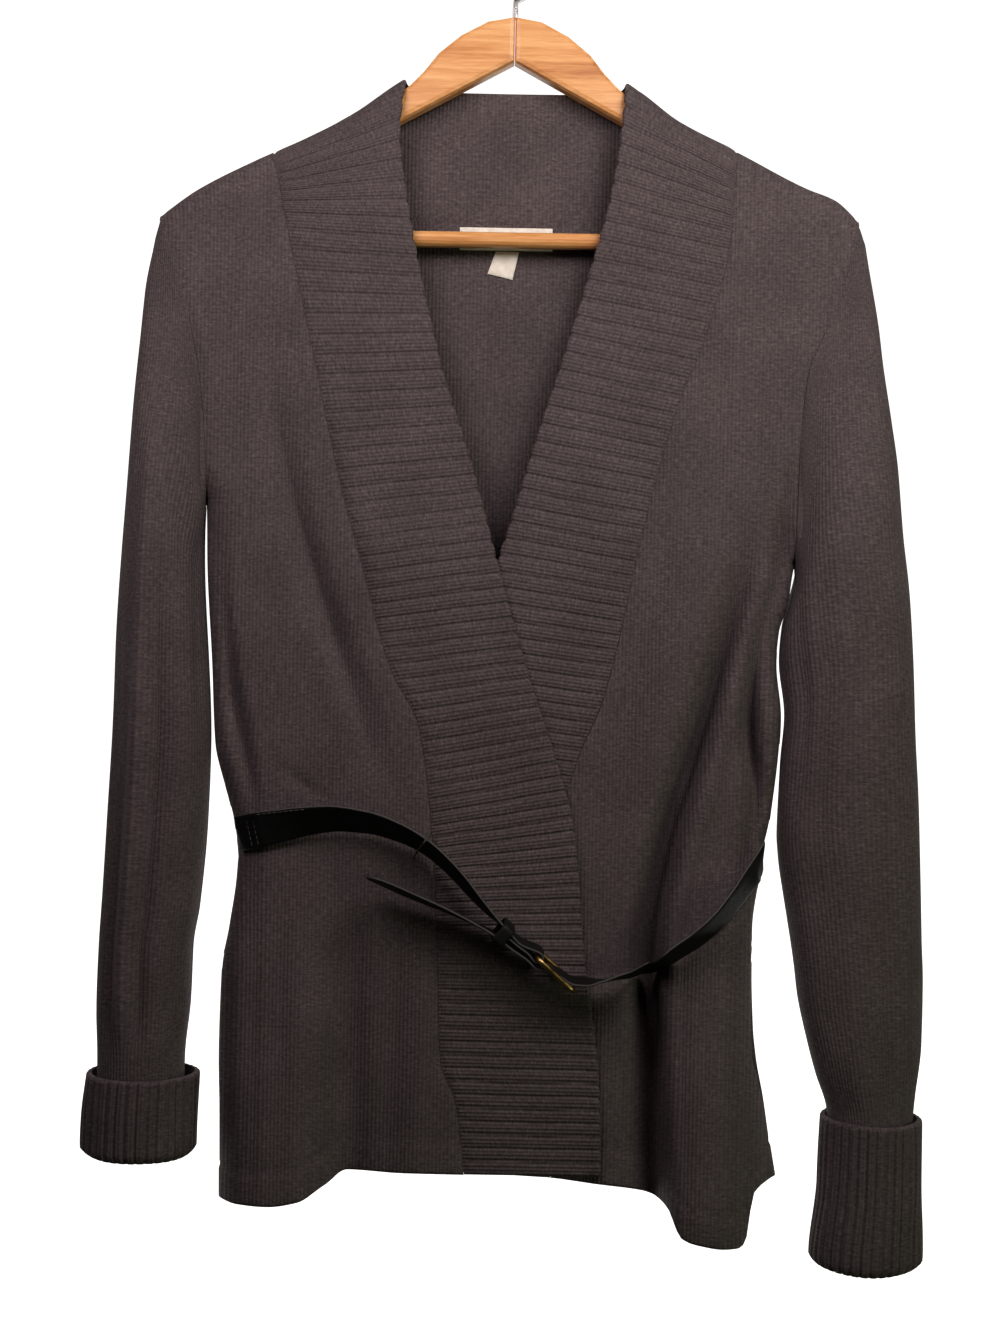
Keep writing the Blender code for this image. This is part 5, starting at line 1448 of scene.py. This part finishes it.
def steel_material():
    """Drawn, chromed steel wire: bright and cool, with draw marks of about 2.5 mm."""
    material, tree, shader = start_material("drawn_steel_wire")
    place = add_node(tree, "TexCoord", {})["Object"]
    marks = {"Vector": place, "Scale": per_metre(2.5), "Detail": 4.0, "Roughness": 0.6}
    marks = add_node(tree, "TexNoise", marks)[0]
    fill(shader, {
        "Base Color": add_node(tree, "ValToRGB", {0: marks}, STEEL_SHADES)[0],
        "Roughness": add_node(tree, "Math", {0: marks, 1: 0.2, 2: 0.12}, operation="MULTIPLY_ADD")[0],
        "Metallic": 1.0,
    })
    return material


def label_material():
    """Woven polyester label tape in off-white: flat, with a plain weave that is drawn at
    0.8 mm so that it shows, and a little soiled."""
    material, tree, shader = start_material("woven_label_tape")
    tape = add_node(tree, "UVMap", {}, uv_map="cloth")["UV"]
    place = add_node(tree, "SeparateXYZ", {0: tape})
    threads = []
    for direction in ("X", "Y"):
        turn = {0: place[direction], 1: 2 * math.pi * per_metre(0.8)}
        turn = add_node(tree, "Math", turn, operation="MULTIPLY")[0]
        threads.append(add_node(tree, "Math", {0: turn}, operation="SINE")[0])
    weave = add_node(tree, "Math", dict(enumerate(threads)), operation="MULTIPLY")[0]
    soil = {"Vector": tape, "Scale": per_metre(7.143), "Detail": 3.0}
    soil = add_node(tree, "TexNoise", soil)[0]
    shade = add_node(tree, "Math", {0: weave, 1: 0.1, 2: soil}, operation="MULTIPLY_ADD")[0]
    fill(shader, {
        "Base Color": add_node(tree, "ValToRGB", {0: shade}, LABEL_SHADES)[0],
        "Normal": add_node(tree, "Bump", {"Height": weave, "Strength": 0.4, "Distance": 0.2 * MM})[0],
        "Roughness": 0.8,
    })
    return material


def thread_material():
    """Spun polyester sewing thread, charcoal: a dull round strand with a twist of 0.4 mm."""
    material, tree, shader = start_material("charcoal_thread")
    place = add_node(tree, "TexCoord", {})["Object"]
    twist = add_node(tree, "TexNoise", {"Vector": place, "Scale": per_metre(0.4), "Detail": 2.0})[0]
    fill(shader, {
        "Base Color": add_node(tree, "ValToRGB", {0: twist}, THREAD_SHADES)[0],
        "Normal": add_node(tree, "Bump", {"Height": twist, "Strength": 0.5, "Distance": 0.2 * MM})[0],
        "Roughness": 0.85,
    })
    return material


def paper_material():
    """Uncoated studio paper: off-white and matt, with a little light of its own so that it
    stays an even white behind the garment."""
    material, tree, shader = start_material("pale_studio_paper")
    place = add_node(tree, "TexCoord", {})["Object"]
    tone = add_node(tree, "TexNoise", {"Vector": place, "Scale": per_metre(500.0), "Detail": 2.0})[0]
    colour = add_node(tree, "ValToRGB", {0: tone}, PAPER_SHADES)[0]
    glow = {"Emission Color": colour, "Emission Strength": PAPER_GLOW}
    fill(shader, {"Base Color": colour, "Roughness": 0.9, **glow})
    return material


def set_material(node, material):
    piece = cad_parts[node]
    piece.data.materials.clear()
    piece.data.materials.append(material)


def make_stage():
    """A pale wall behind, with a curved foot and a floor that stay behind the garment."""
    profile = [(FLOOR_FRONT_Y, FLOOR_Z), (PAPER_Y - PAPER_BEND, FLOOR_Z)]
    for angle in np.radians(np.arange(7.5, 91, 7.5)):
        y = PAPER_Y - PAPER_BEND * (1 - math.sin(angle))
        profile.append((y, FLOOR_Z + PAPER_BEND * (1 - math.cos(angle))))
    profile.append((PAPER_Y, PAPER_TOP_Z))
    mesh = bpy.data.meshes.new("studio_sweep")
    vertices = [(side * PAPER_REACH, y, z) for y, z in profile for side in (-1, 1)]
    faces = [(2 * k, 2 * k + 1, 2 * k + 3, 2 * k + 2) for k in range(len(profile) - 1)]
    mesh.from_pydata(vertices, [], faces)
    mesh.shade_smooth()
    mesh.materials.append(paper_material())
    sweep = bpy.data.objects.new("studio_sweep", mesh)
    bpy.context.scene.collection.objects.link(sweep)


def make_lights():
    """Round soft lights, each turned to its own aim."""
    for row in LIGHTS:
        data = bpy.data.lights.new(row.name, "AREA")
        data.shape = "DISK"
        data.size = row.size
        data.energy = row.power
        data.color = hex_colour(row.colour)[:3]
        light = bpy.data.objects.new(row.name, data)
        light.location = row.place
        x, y, z = np.array(row.aim, float) - np.array(row.place, float)
        light.rotation_euler = (math.atan2(math.hypot(x, y), -z), 0, math.atan2(-x, y))
        bpy.context.scene.collection.objects.link(light)


def make_world_and_camera():
    """A world with hardly any light, and the camera that takes the photograph's view."""
    scene = bpy.context.scene
    scene.view_settings.view_transform = "Standard"
    scene.world = bpy.data.worlds.new("studio")
    scene.world.use_nodes = True
    background = scene.world.node_tree.nodes["Background"]
    fill(background, {"Color": hex_colour("FFFFFF"), "Strength": WORLD_STRENGTH})
    data = bpy.data.cameras.new("camera")
    data.sensor_fit = "VERTICAL"
    data.angle = 2 * math.atan(PICTURE_HEIGHT / 2 / VIEW_DISTANCE)
    camera = bpy.data.objects.new("camera", data)
    camera.location = to_frame(np.array([VIEW_X, -VIEW_DISTANCE, 0.0])) * MM
    camera.rotation_euler = (math.radians(90), PICTURE_ROLL, 0)
    scene.collection.objects.link(camera)
    scene.camera = camera


knit = knit_material()
leather = leather_material()
thread = thread_material()
tape = label_material()

make_fronts(knit)
make_back(knit)
make_bands(knit)
for sleeve_row in SLEEVES:
    make_sleeve(sleeve_row, knit)
make_cuff("cuff_right_knit", "cuff_right", CUFF_RIGHT, (0.21, 0.052), knit)
make_cuff("cuff_left_knit", "cuff_left", CUFF_LEFT, (0.19, 0.094), knit)
make_belt(leather, brass_material())
make_carrier(thread)
make_stitches(thread)
make_labels(tape, thread)
set_material("hanger_arm_left", wood_material("beech_left_arm", math.radians(30)))
set_material("hanger_arm_right", wood_material("beech_right_arm", math.radians(-30)))
set_material("hanger_rod", wood_material("beech_rod", 0.0))
set_material("hanger_hook", steel_material())
make_stage()
make_lights()
make_world_and_camera()
